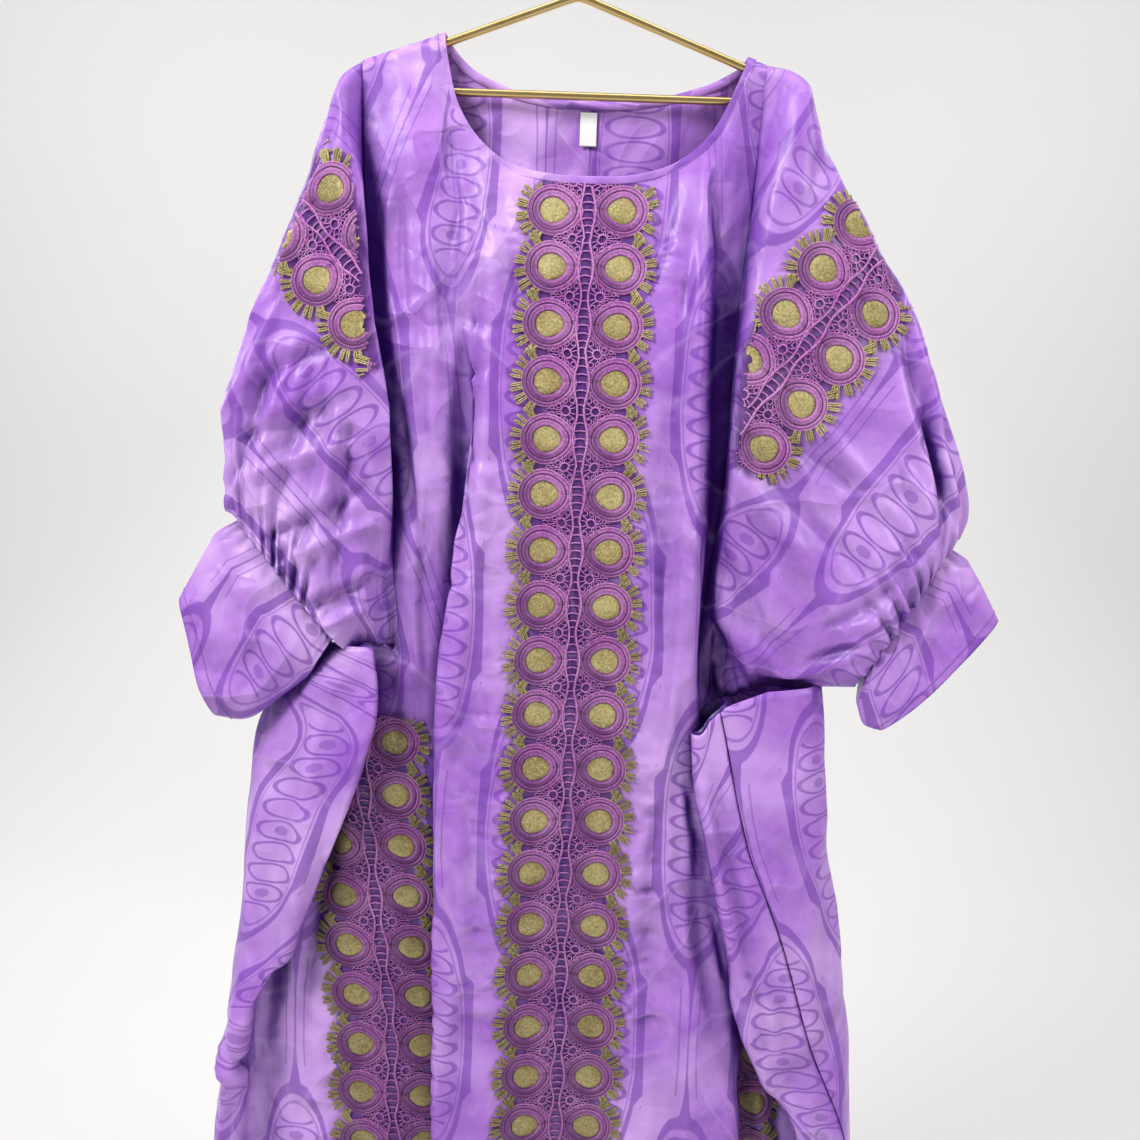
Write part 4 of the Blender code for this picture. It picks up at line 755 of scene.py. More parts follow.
def linear(code):
    """sRGB hex colour as linear red, green, blue and alpha."""
    values = [int(code[i:i + 2], 16) / 255.0 for i in (1, 3, 5)]
    return tuple(v / 12.92 if v <= 0.04045 else ((v + 0.055) / 1.055) ** 2.4 for v in values) + (1.0,)


def add(tree, kind, *inputs, out=0, **settings):
    """Adds a node and gives one of its outputs; a kind in capitals is a sum, and a nested tuple is a node."""
    node = tree.nodes.new("ShaderNodeMath" if kind.isupper() else kind)
    if kind.isupper():
        node.operation = kind
    for key, value in settings.items():
        setattr(node, key, value)
    if inputs and isinstance(inputs[0], dict):
        given = [(node.inputs[key], value) for key, value in inputs[0].items()]
    else:
        given = list(zip(node.inputs, inputs))
    for socket, value in given:
        if isinstance(value, tuple) and isinstance(value[0], str):
            value = add(tree, *value)
        if isinstance(value, bpy.types.NodeSocket):
            tree.links.new(value, socket)
        elif value is not None:
            socket.default_value = value
    return node.outputs[out]


def new_material(name, **values):
    """Material with constant values on its shader's sockets; gives it, its tree, its shader and the place."""
    material = bpy.data.materials.new(name)
    material.use_nodes = True
    shader = material.node_tree.nodes["Principled BSDF"]
    for key, value in values.items():
        shader.inputs[key.replace("_", " ")].default_value = value
    return material, material.node_tree, shader, add(material.node_tree, "ShaderNodeTexCoord", out="Object")


def line_at(value, place, half_width):
    """Expression that is 1 where value is within half a width of a place, and falls to 0 beside it."""
    off = ("DIVIDE", ("ABSOLUTE", ("SUBTRACT", value, place)), half_width)
    return ("SUBTRACT", 1.0, ("MINIMUM", 1.0, ("POWER", off, 4.0)))


def between(value, low, high, soft):
    """Expression that is 1 between low and high, with soft edges."""
    return ("MULTIPLY", *(("MINIMUM", 1.0, ("MAXIMUM", 0.0, ("DIVIDE", ("SUBTRACT", *ends), soft)))
                          for ends in ((value, low), (high, value))))


def oval_at(across, half_width, down, half_height, power=2.0):
    """Expression that is 1 on an ellipse, or a squarer oval, and grows outwards from 0 at its middle."""
    return ("POWER", ("ADD", ("POWER", ("DIVIDE", across, half_width), power),
                      ("POWER", ("ABSOLUTE", ("DIVIDE", down, half_height)), power)), 1.0 / power)


NOISE, RANGE = "ShaderNodeTexNoise", "ShaderNodeMapRange"
DAMASK_COLUMN, DAMASK_REPEAT = 92.0, 457.5      # mm
OVAL_HALF_WIDTH, OVAL_HALF_HEIGHT = 37.0, 131.0
STEM_ROOT, STEM_WAIST = 9.0, 1.3
RUNG, RING_HALF_HEIGHT = 23.5, 10.6             # from one ring of a ladder to the next, and their size
EYE_SIZE = (8.0, 5.0)                           # half width and height of the dot in every third ring


def damask(tree, across_mm, down_mm):
    """0 in the ground and 1 in the satin figure: ladders of ellipses in tall ovals, with stems between."""
    column = add(tree, "DIVIDE", across_mm, DAMASK_COLUMN)
    a = add(tree, "MULTIPLY", ("SUBTRACT", ("FRACT", column), 0.5), DAMASK_COLUMN)
    shift = add(tree, "MULTIPLY", ("FLOOR", column), 0.5)
    turn = add(tree, "FRACT", ("ADD", ("DIVIDE", down_mm, DAMASK_REPEAT), shift))
    b = add(tree, "MULTIPLY", ("SUBTRACT", turn, 0.5), DAMASK_REPEAT)
    width, height = add(tree, "ABSOLUTE", a), add(tree, "ABSOLUTE", b)
    oval = add(tree, *oval_at(width, OVAL_HALF_WIDTH, height, OVAL_HALF_HEIGHT, 2.2))
    outline = add(tree, "ADD", between(oval, 1.0, 1.13, 0.02), ("MULTIPLY", 0.8, line_at(oval, 0.93, 0.018)))
    taper = ("SUBTRACT", 1.0, ("POWER", ("DIVIDE", height, OVAL_HALF_HEIGHT * 0.93), 4.0))
    room = add(tree, "MULTIPLY", OVAL_HALF_WIDTH * 0.8, ("SQRT", ("MAXIMUM", 0.02, taper)))
    rungs = add(tree, "FRACT", ("DIVIDE", ("ADD", b, ("MULTIPLY", a, 0.06)), RUNG))
    y = add(tree, "MULTIPLY", ("SUBTRACT", rungs, 0.5), RUNG)
    ring = add(tree, *oval_at(width, room, y, RING_HALF_HEIGHT))
    eye = add(tree, *oval_at(width, EYE_SIZE[0], y, EYE_SIZE[1]))
    within = add(tree, "MULTIPLY", between(height, -1.0, 104.0, 4.0), ("LESS_THAN", oval, 0.9))
    odd = add(tree, "GREATER_THAN", ("FRACT", ("MULTIPLY", ("FLOOR", ("DIVIDE", b, RUNG)), 0.3333)), 0.5)
    eyes = ("MULTIPLY", ("MULTIPLY", 0.7, odd), ("LESS_THAN", eye, 1.0))
    ladder = add(tree, "MULTIPLY", within, ("ADD", line_at(ring, 0.94, 0.13), eyes))
    half = DAMASK_REPEAT / 2
    beyond = add(tree, "MAXIMUM", 0.0, ("DIVIDE", ("SUBTRACT", half, height), half - OVAL_HALF_HEIGHT))
    reach = add(tree, "ADD", STEM_WAIST, ("MULTIPLY", STEM_ROOT, ("POWER", beyond, 3.0)))
    stem = add(tree, "MULTIPLY", ("GREATER_THAN", oval, 1.1), between(width, -50.0, reach, 1.0))
    beside = add(tree, "MULTIPLY", ("GREATER_THAN", oval, 1.3),
                 ("MULTIPLY", 0.7, line_at(width, ("ADD", reach, 8.0), 1.2)))
    figure = add(tree, "ADD", ("ADD", outline, ladder), ("ADD", stem, beside))
    return add(tree, "MINIMUM", 1.0, figure)


def paint(tree, shader, base, relief, gloss, strength=0.5, depth=0.001):
    """Links a colour, a height in units of depth and a roughness to a shader."""
    tree.links.new(base, shader.inputs["Base Color"])
    tree.links.new(gloss, shader.inputs["Roughness"])
    bump = add(tree, "ShaderNodeBump", {"Strength": strength, "Distance": depth, "Height": relief})
    tree.links.new(bump, shader.inputs["Normal"])


def mix(tree, share, first, second, kind="MIX"):
    """Colour between two, or one over the other."""
    return add(tree, "ShaderNodeMixRGB", share, first, second, blend_type=kind)


CRUMPLES = ((153.8, 0.6, -30.0), (76.9, 0.6, -13.0), (33.33, 0.4, 4.0))     # size in mm, wander, height in mm


def damask_material():
    """Bazin: cotton damask, coloured with dye, glazed with starch and beaten; it shines softly and creases
    sharply.
    """
    material, tree, shader, place = new_material(
        "glazed cotton damask, beaten", Specular_IOR_Level=0.35, Coat_Weight=0.22, Coat_Roughness=0.3)
    uv = add(tree, "ShaderNodeUVMap", uv_map="cloth")
    across, down = (add(tree, "ShaderNodeSeparateXYZ", uv, out=k) for k in (0, 1))
    wander = add(tree, NOISE, {"Vector": uv, "Scale": grain(111.1), "Detail": 2.0})
    shift = add(tree, "MULTIPLY", ("SUBTRACT", wander, 0.5), 9.0)
    figure = damask(tree, *(add(tree, "ADD", ("MULTIPLY", way, 1000.0), shift) for way in (across, down)))
    # the dye: clouds over broad patches; the lighter broad patches mixed in by glazed are a painted
    # highlight, the glaze's sheen painted into the colour
    mottle = add(tree, NOISE, {"Vector": place, "Scale": grain(66.7), "Detail": 8.0, "Roughness": 0.72})
    cloudy = add(tree, RANGE, {"Value": mottle, "From Min": 0.34, "From Max": 0.68})
    broad = add(tree, NOISE, {
        "Vector": place, "Scale": grain(182.0), "Detail": 3.0, "Roughness": 0.6, "Distortion": 0.5})
    glazed = add(tree, RANGE, {"Value": broad, "From Min": 0.42, "From Max": 0.66})
    ground = mix(tree, glazed, mix(tree, cloudy, linear("#B881DD"), linear("#9256C3")), linear("#D0A5EC"))
    dye_and_painted_light = mix(tree, ("MULTIPLY", figure, 0.66), ground, linear("#7336AE"))
    # painted shade: cloth in the lace's shadow and cloth deep in folds is darkened towards these colours
    for label, share, shade in (("under_lace", 0.8, "#451468"), ("depth", 0.95, "#3B0E78")):
        deep = add(tree, "ShaderNodeAttribute", out="Fac", attribute_name=label)
        dye_and_painted_light = mix(tree, ("MULTIPLY", deep, share), dye_and_painted_light, linear(shade))
    creased, crests = 0.0, []
    for size, wander, height in CRUMPLES:
        field = (NOISE, {"Vector": place, "Scale": grain(size), "Detail": 1.0, "Distortion": wander})
        crests.append(add(tree, "ABSOLUTE", ("SUBTRACT", field, 0.5)))
        creased = ("ADD", creased, ("MULTIPLY", crests[-1], height))
    patchy = add(tree, NOISE, {"Vector": place, "Scale": grain(200.0), "Detail": 1.0})
    much = add(tree, RANGE, {
        "Value": patchy, "From Min": 0.35, "From Max": 0.65, "To Min": 0.45, "To Max": 1.35})
    # painted highlight: the crest lines of the largest crumples are painted lighter, where they would catch
    # the light
    painted_ridge_highlight = add(tree, RANGE, {
        "Value": crests[0], "From Min": 0.0, "From Max": 0.022, "To Min": 0.15, "To Max": 0.0})
    dye_and_painted_light = mix(tree, painted_ridge_highlight, dye_and_painted_light, linear("#D9BDF2"))
    # real threads stand 0.3 mm apart, too fine to show: the weave is drawn at 1.1 mm
    weave = add(tree, NOISE, {"Vector": place, "Scale": grain(1.111), "Detail": 1.0})
    relief = add(tree, "ADD", ("MULTIPLY", creased, much),
                 ("ADD", ("MULTIPLY", figure, 0.1), ("MULTIPLY", weave, 0.2)))
    gloss = add(tree, "ADD", 0.3, ("ADD", ("MULTIPLY", figure, 0.08), ("MULTIPLY", mottle, 0.2)))
    paint(tree, shader, dye_and_painted_light, relief, gloss, 1.0)
    return material


def yarn_material(name, light, dark, deep, gleam, metallic, twist):
    """Embroidery yarn: threads lie side by side over each raised stitch and break the light in fine lines."""
    material, tree, shader, place = new_material(
        name, Metallic=metallic, Sheen_Weight=gleam, Specular_IOR_Level=0.4)
    uv = add(tree, "ShaderNodeUVMap", uv_map="thread")
    across, down = (add(tree, "ShaderNodeSeparateXYZ", uv, out=k) for k in (0, 1))
    # real threads lie 0.3 mm apart, too fine to show: lines are drawn 0.9 mm apart and fuzz at 2.4 mm
    lines = add(tree, "SINE", ("MULTIPLY", ("ADD", across, ("MULTIPLY", down, twist)), 7.0))
    fuzz = add(tree, NOISE, {"Vector": place, "Scale": grain(2.381), "Detail": 3.0, "Roughness": 0.7})
    patch = add(tree, NOISE, {"Vector": place, "Scale": grain(38.5), "Detail": 2.0})
    tone = add(tree, "ADD", ("MULTIPLY", lines, 0.22),
               ("ADD", fuzz, ("MULTIPLY", ("SUBTRACT", patch, 0.5), 0.5)))
    share = add(tree, RANGE, {"Value": tone, "From Min": 0.28, "From Max": 0.74})
    # painted shade: the shade each point carries (grooves, one side of each wheel, deep folds, lower down)
    # darkens the yarn towards deep
    shade = add(tree, "ShaderNodeAttribute", out="Fac", attribute_name="shade")
    base = mix(tree, ("MULTIPLY", shade, 0.85), mix(tree, share, linear(dark), linear(light)), linear(deep))
    relief = add(tree, "ADD", ("MULTIPLY", lines, 0.6), fuzz)
    gloss = add(tree, "ADD", 0.3, ("MULTIPLY", fuzz, 0.28))
    paint(tree, shader, base, relief, gloss, 0.8, 0.0006)
    return material


def plain_material(name, broad, fine, colours, rough, relief, shine=1, **values):
    """Material toned by a broad noise, with fine marks: size, detail and roughness of each noise.

    rough is the shader's roughness and how far it follows the noise that shine picks, 0 or 1.
    """
    material, tree, shader, place = new_material(name, **values)
    noises = [add(tree, NOISE, {"Vector": place, "Scale": grain(size), "Detail": detail, "Roughness": uneven})
              for size, detail, uneven in (broad, fine)]
    base = mix(tree, noises[0], *(linear(colour) for colour in colours))
    gloss = add(tree, "ADD", rough[0], ("MULTIPLY", noises[shine], rough[1]))
    paint(tree, shader, base, noises[1], gloss, *relief)
    return material


BAZIN = damask_material()
SATIN = yarn_material("rayon embroidery yarn, orchid", "#FDBCF8", "#B235BA", "#480A58", 0.06, 0.0, 0.0)
GOLD = yarn_material("metallised polyester yarn, gold", "#F6EAA6", "#7E6626", "#3A2A10", 0.1, 0.35, 0.9)
THREAD = yarn_material("sewing thread, lilac", "#C9A6EC", "#8E5CC8", "#7A48B4", 0.2, 0.0, 0.6)
# Steel wire plated a pale gold and brushed along its length: soft long highlights with fine marks. Brush
# marks under 0.1 mm are too fine to show: they are drawn as specks of 8 mm, down to 0.3 mm
PLATED = plain_material("gold plated steel, satin", (55.6, 2.0, 0.5), (7.69, 5.0, 0.7),
                        ("#C2A25E", "#DCC592"), (0.2, 0.2), (0.3, 0.0001), Metallic=1.0)
# Satin label tape: white polyester woven close, with a cut and folded edge and nothing written on it. The
# satin's floats, 0.2 mm wide, are drawn at 0.7 mm to show
TAPE = plain_material("woven satin tape, white", (11.1, 2.0, 0.5), (0.714, 2.0, 0.5),
                      ("#E9E7EA", "#FBFAFB"), (0.3, 0.2), (0.3, 0.0002), shine=0, Sheen_Weight=0.2)
# Smooth painted wall and floor, off-white, quite matt
PAINT = plain_material("matt paint, off-white", (833.0, 3.0, 0.5), (3.846, 2.0, 0.5),
                       ("#E6E6E5", "#EBEBEA"), (0.85, 0.1), (0.1, 0.0004), Specular_IOR_Level=0.15)


# ---- the cloth pieces ------------------------------------------------------------------------
def outwards(piece):
    """Turns the faces of a tube-like piece away from its middle."""
    mesh = piece.data
    middle = coordinates(mesh).mean(axis=0)
    facing = sum((np.array(p.center) - middle).dot(np.array(p.normal)) * p.area for p in mesh.polygons)
    if facing < 0.0:
        mesh.flip_normals()


CREASE_GAIN = 2.6           # the crease tables give heights before this
HANG_FOLDS, HANG_STRETCH = 11.0, 0.14       # soft folds of the plain back: height, mm, and pull down
EDGE_CALM, TOP_CALM = (3.0, 22.0), (6.0, 40.0)      # start and reach of creases at a panel's sides, top
# gentle unevenness of each kind of piece and its crumples: length and height of both, mm
ROUGHNESS = {"panel": (110.0, 3.6, 74.0, 1.5), "sleeve": (100.0, 3.6, 70.0, 1.4),
             "cuff": (60.0, 2.0, 50.0, 0.8)}


def ramp(value, start, reach):
    """0 up to start, then rising to 1 over reach."""
    return np.clip((value - start) / reach, 0.0, 1.0)


def roughen(lift, points, kind, seed):
    """Adds the unevenness of a kind of piece to its lift."""
    length, height, size, sharp = ROUGHNESS[kind]
    return lift + undulation(points, length, height, seed) + crumple(points, size, sharp, seed + 1)


def panel(name, grid, start, creases, seed, back=False):
    """Shell of a front or back panel with its creases and its map of the cloth."""
    rows, columns = grid.shape[:2]
    present = ~np.isnan(grid[:, :, 0])
    faces = grid_faces((rows, columns), present)
    if back:
        faces = [f[::-1] for f in faces]
    across_mm = lengths_across(grid, start)
    filled = np.nan_to_num(grid).reshape(-1, 3)
    cloth = np.stack([across_mm.ravel(), filled[:, 2]], axis=1) / 1000.0
    points = metres(filled)
    edge = NECK_EDGE_BACK if back else NECK_EDGE_FRONT
    tops = np.array([top_of(x, edge)[1] for x in filled[:, 0]])
    run = lengths_across(grid, 0)
    ends = np.minimum(run - np.nanmin(np.where(present, run, np.nan), axis=1)[:, None],
                      np.nanmax(np.where(present, run, np.nan), axis=1)[:, None] - run)
    calm = ramp(tops - filled[:, 2], *TOP_CALM) * ramp(ends.ravel(), *EDGE_CALM)
    lift = roughen(CREASE_GAIN * crease_lift(filled[:, 0], filled[:, 2], creases), points, "panel", seed)
    if back:
        lift += undulation(points * (1.0, 1.0, HANG_STRETCH), 90.0, HANG_FOLDS, seed + 2)
    piece = mesh_piece(name, points, faces, [BAZIN], {"cloth": cloth})
    push_out(piece, within_room(piece, (lift * calm)[used_points(faces)]) + (WALL if back else 0.0))
    give_wall(piece, CLOTH)
    return piece


def tube_map(side, grid):
    """Map of a sleeve's cloth: its grain follows the slant of the lace on it."""
    down = np.array(SLEEVE_WAY[side], float) / math.hypot(*SLEEVE_WAY[side])
    flat = grid.reshape(-1, 3)
    around = lengths_around(grid).ravel()
    return np.stack([around * 0.4 + flat[:, 0] * -down[1] + flat[:, 2] * down[0],
                     -(flat[:, 0] * down[0] + flat[:, 2] * down[1])], axis=1) / 1000.0


def lengths_around(grid):
    """Depth of each point of a ring behind its front, as length of cloth."""
    return grid[:, :, 1] - grid[:, :, 1].min(axis=1, keepdims=True)


SLEEVE_WAY = {"left": (33, -36), "right": (-32, -42)}
GATHERS = 23                # ripples round a sleeve where it is drawn into its cuff
GATHER_RIPPLE, GATHER_START = 4.0, (0.62, 0.33)     # their height, mm; start and reach along the sleeve
CUFF_RIPPLE, CUFF_FADE = 1.3, 0.32                  # the same in the cuff, where they fade
BEHIND_SHIFT = (14.0, 22.0)                         # creases behind a sleeve stand this far off, x and z
SLEEVE_OUTS = np.concatenate([
    np.linspace(0.0, 0.1, 12)[:-1], np.linspace(0.1, 0.88, 52)[:-1], np.linspace(0.88, 1.0, 14)])
SLEEVE_SHARES = np.linspace(0.0, 1.0, 100)
CUFF_DOWNS = np.concatenate([[-0.03], np.linspace(0.0, 1.0, 30)])


def ripple(grid, heights, seed):
    """Uneven gathers round a tube: millimetres for each point, from their height at each row."""
    columns = grid.shape[1]
    turn = np.arange(columns) / columns
    random = np.random.default_rng(seed)
    wander = sum(random.uniform(0.2, 0.7) * np.sin(2 * np.pi * (k * turn + random.uniform()))
                 for k in (2, 3, 5))
    finer = np.sin(2 * np.pi * (GATHERS * 2 - 5) * turn + 2 * wander)
    waves = np.sin(2 * np.pi * GATHERS * turn + wander) + 0.4 * finer
    uneven = 0.75 + 0.45 * np.sin(2 * np.pi * (3 * turn + random.uniform()))
    return heights[:, None] * (waves * uneven)[None, :]


def make_sleeve(side):
    """Shell of a sleeve: creases on both faces, gathers towards the cuff."""
    grid = sleeve_grid(side, SLEEVE_OUTS, SLEEVE_SHARES)
    piece = grid_tube("sleeve_cloth_" + side, grid, BAZIN, tube_map(side, grid))
    outwards(piece)
    flat = grid.reshape(-1, 3)
    points = metres(flat)
    gather = ripple(grid, GATHER_RIPPLE * ramp(SLEEVE_OUTS, *GATHER_START) ** 1.5, 5).ravel()
    outs = np.repeat(SLEEVE_OUTS, grid.shape[1])
    ahead = flat[:, 1] < np.repeat(grid[:, :, 1].mean(axis=1), grid.shape[1])
    creases = crease_lift(flat[:, 0], flat[:, 2], SLEEVE_CREASES[side])
    behind = crease_lift(flat[:, 0] + BEHIND_SHIFT[0], flat[:, 2] + BEHIND_SHIFT[1], SLEEVE_CREASES[side])
    lift = roughen(CREASE_GAIN * np.where(ahead, creases, behind), points, "sleeve", 21)
    lift = lift * ramp(outs, 0.015, 0.08) * np.clip((1.0 - outs) / 0.05 + 0.3, 0.0, 1.0)
    push_out(piece, within_room(piece, lift) + gather)
    give_wall(piece, CLOTH)
    return piece


def make_cuff(side):
    """Shell of a cuff, open at its end, with the sleeve's gathers fading into it."""
    shares = (1.0 - np.cos(np.pi * np.arange(1, 48) / 48)) / 2
    grid = cuff_grid(side, CUFF_DOWNS, shares)
    flat = grid.reshape(-1, 3)
    points = metres(flat)
    steps = np.linalg.norm(np.diff(grid, axis=1, append=grid[:, :1]), axis=2)
    around = np.cumsum(steps, axis=1) - steps[:, :1]
    down = run_along(grid)
    cloth = np.stack([around.ravel(), -down.ravel()], axis=1) / 1000.0
    piece = grid_tube("cuff_cloth_" + side, grid, BAZIN, cloth)
    outwards(piece)
    fading = CUFF_RIPPLE * ramp(-CUFF_DOWNS, -CUFF_FADE, CUFF_FADE) ** 1.5
    gather = ripple(grid, fading, 9).ravel()
    lift = roughen(0.0, points, "cuff", 31) + crease_lift(flat[:, 0], flat[:, 2], CUFF_CREASES[side])
    push_out(piece, lift * ramp(np.repeat(CUFF_DOWNS, grid.shape[1]), 0.0, 0.1) + gather)
    give_wall(piece, CLOTH)
    return piece


CUFF_CREASES = {
    "left": (
        (-330, -640, -360, -720, 8, 4, -2.6), (-300, -680, -340, -760, 7, -4, -2.2),
        (-352, -650, -384, -700, 6, 3, 2.2), (-280, -722, -330, -790, 7, 4, 2.2),
    ),
    "right": (
        (352, -650, 384, -700, 7, 4, -2.4), (330, -700, 360, -752, 7, -4, -2.4),
        (300, -752, 330, -784, 6, 3, 2.0), (374, -620, 410, -680, 7, 4, 2.2),
    ),
}
BINDING_CROWN = 0.45
BINDING_PROFILE = ((0.0, 0.0), (0.06, 0.5), (0.25, 0.95), (0.5, 1.0), (0.75, 0.95), (0.94, 0.5), (1.0, 0.0))


def make_binding():
    """Strip of the same cloth folded over the raw edge of the neckline, stitched near its outer side."""
    inner, outer = neck_curve(3.5), neck_curve(3.5, BINDING_WIDTH)
    way = np.roll(inner, -1, axis=0) - np.roll(inner, 1, axis=0)
    out = np.cross(outer - inner, way)
    out /= np.linalg.norm(out, axis=1)[:, None]
    puff = 1.0 + 0.25 * np.array([noise.noise(Vector(p) * 0.06) for p in inner])
    lines = [inner + (outer - inner) * share + out * (BINDING_CROWN * height * puff)[:, None]
             for share, height in BINDING_PROFILE]
    lines += [inner + (outer - inner) * share - out * 1.9 for share in (0.97, 0.5, 0.03)]
    grid = np.stack(lines, axis=1)
    grid = np.concatenate([grid, grid[:1]])
    run = run_along(inner)
    run = np.append(run, run[-1] + 3.5)
    count = grid.shape[1]
    cloth = np.stack([np.tile(np.arange(count) * 2.0, len(grid)), np.repeat(run * 0.5, count)],
                     axis=1) / 1000.0
    piece = grid_tube("binding_cloth", grid, BAZIN, cloth)
    weld(piece, 0.0001)
    return piece, inner, outer, out


front_grid = panel_grid(FRONT_FOLDS, NECK_EDGE_FRONT, {"lace_left": ("left", -1), "lace_right": ("right", 1)})
front = panel("front_cloth", front_grid, fold_column("centre"), FRONT_CREASES + tuple(pucker_creases()), 3)
backs = {}
for side, folds, outwards_way in (("left", BACK_LEFT_FOLDS, -1), ("right", BACK_RIGHT_FOLDS, 1)):
    back_grid = panel_grid(folds, NECK_EDGE_BACK, {"armhole_" + side: (side, outwards_way)})
    start = back_grid.shape[1] - 1 if side == "left" else 0
    backs[side] = panel("back_cloth_" + side, back_grid, start, BACK_CREASES, 7, back=True)
sleeves = {side: make_sleeve(side) for side in ("left", "right")}
cuffs = {side: make_cuff(side) for side in ("left", "right")}
binding, neck_inner, neck_outer, neck_out = make_binding()


RAYS, RAY_REACH = 16, 0.1
FACING_RAYS = 1.6           # how much the rays crowd towards the normal


def mark_depth(pieces):
    """Marks how deep in folds each place lies, for the material to paint shade there, darker and more
    saturated as the cloth lights itself with its own colour.
    """
    tree = surface_tree(*pieces)
    fan = []
    for i in range(RAYS):
        rise = 1.0 - ((i + 0.5) / RAYS) ** FACING_RAYS * 0.93
        aside = math.sqrt(1.0 - rise * rise)
        fan.append((aside * math.cos(2.4 * i), aside * math.sin(2.4 * i), rise))
    for piece in pieces:
        depths = []
        for vertex, normal in zip(piece.data.vertices, coordinates(piece.data, normals=True)):
            up = Vector(normal)
            if up.length < 0.5:
                depths.append(0.0)
                continue
            side = up.orthogonal().normalized()
            other = up.cross(side)
            start = vertex.co + up * 0.0012
            shut = 0.0
            for x, y, z in fan:
                distance = tree.ray_cast(start, side * x + other * y + up * z, RAY_REACH)[3]
                if distance is not None:
                    shut += 1.0 - 0.6 * distance / RAY_REACH
            depths.append(min(1.0, 1.8 * shut / RAYS) ** 1.3)
        mark(piece, "depth", depths)


clothes = [front, *backs.values(), *sleeves.values(), *cuffs.values()]
mark_depth(clothes)


# ---- lace ------------------------------------------------------------------------------------
ROW_PITCH = 56.5            # one pair of medallions, millimetres
MEDALLION_AT = 35.0         # from the centre line of a band to a medallion's centre
MEDALLION_RADIUS = 25.6
# the satin from its inner edge out: a broad ridge, a narrower one and an edge cord
SATIN_PROFILE = (
    # radius, height, painted shade: dark in the grooves, light on the crests
    (12.4, 0.9, 1.0), (13.2, 1.6, 1.0), (14.0, 2.7, 0.2), (15.0, 3.1, 0.05), (17.0, 2.8, 0.5),
    (18.6, 2.7, 0.35), (19.3, 2.3, 0.05), (20.0, 1.2, 1.0), (20.8, 1.3, 0.95), (21.5, 2.5, 0.05),
    (22.5, 2.4, 0.45), (23.4, 2.2, 0.3), (24.1, 1.2, 1.0), (24.8, 2.2, 0.1), (25.6, 2.2, 0.0),
    (26.3, 0.7, 0.6),
)
EGG_PROFILE = ((0.0, 3.6), (4.5, 3.5), (8.8, 3.1), (11.7, 2.4), (13.1, 1.2))
ROUND = 36                  # points round a medallion
LOOPS = 12                  # gold loops on the outer half of a medallion
LOOP_SPREAD = 64.0          # degrees to either side of straight out
LOOP_LENGTH = 13.0
WEB_HEIGHT = 1.5


class Motif:
    """Points, faces, thread directions and yarns of one repeat of lace, laid flat in millimetres."""

    def __init__(self):
        self.points, self.faces, self.threads, self.shades, self.golds = [], [], [], [], []

    def ring_grid(self, grid, threads, gold, closed, shades=None):
        """A grid of points; closed joins its last column to its first."""
        start = len(self.points)
        rows, columns = grid.shape[:2]
        self.points.extend(grid.reshape(-1, 3).tolist())
        self.threads.extend(threads.reshape(-1, 2).tolist())
        self.shades.extend((np.zeros(rows * columns) if shades is None else shades.ravel()).tolist())
        faces = grid_faces((rows, columns), closed=closed)
        self.faces.extend([tuple(i + start for i in f) for f in faces])
        self.golds.extend([gold] * len(faces))

    def cord(self, line, radius, gold=False, sides=4):
        """Round cord along a line of (across, down, height)."""
        line = np.asarray(line, float)
        way = np.gradient(line, axis=0)
        way /= np.linalg.norm(way, axis=1)[:, None] + 1e-9
        aside = np.cross(way, (0.0, 0.0, 1.0))
        aside /= np.linalg.norm(aside, axis=1)[:, None] + 1e-9
        above = np.cross(aside, way)
        turn = 2.0 * np.pi * (np.arange(sides) + 0.5) / sides
        grid = (line[:, None] + radius * (np.cos(turn)[None, :, None] * aside[:, None]
                                          + np.sin(turn)[None, :, None] * above[:, None]))
        run = run_along(line)
        threads = np.stack([np.repeat(run, sides), np.tile(turn * radius, len(line))], axis=1)
        self.ring_grid(grid, threads, gold, True)

    def ring(self, across, down, radius, thick, gold=False, start=0.0, end=360.0, count=12):
        """Cord bent round a centre, from one angle to another, 0 to the right and 90 down."""
        turn = np.radians(np.linspace(start, end, count + 1))
        ring = spread(across + radius * np.cos(turn), down + radius * np.sin(turn), WEB_HEIGHT)
        self.cord(ring, thick, gold)

    def piece(self, name):
        """The motif as a mesh in metres with its thread map, its shade and its yarn."""
        piece = mesh_piece(name, np.array(self.points) / 1000.0, self.faces, [],
                           {"thread": np.array(self.threads)})
        mark(piece, "shade", self.shades)
        mark(piece, "gold", self.golds, "FACE")
        return piece


def spread(*values):
    """Arrays spread to one shape and laid side by side as the last axis."""
    return np.stack(np.broadcast_arrays(*values), axis=-1)


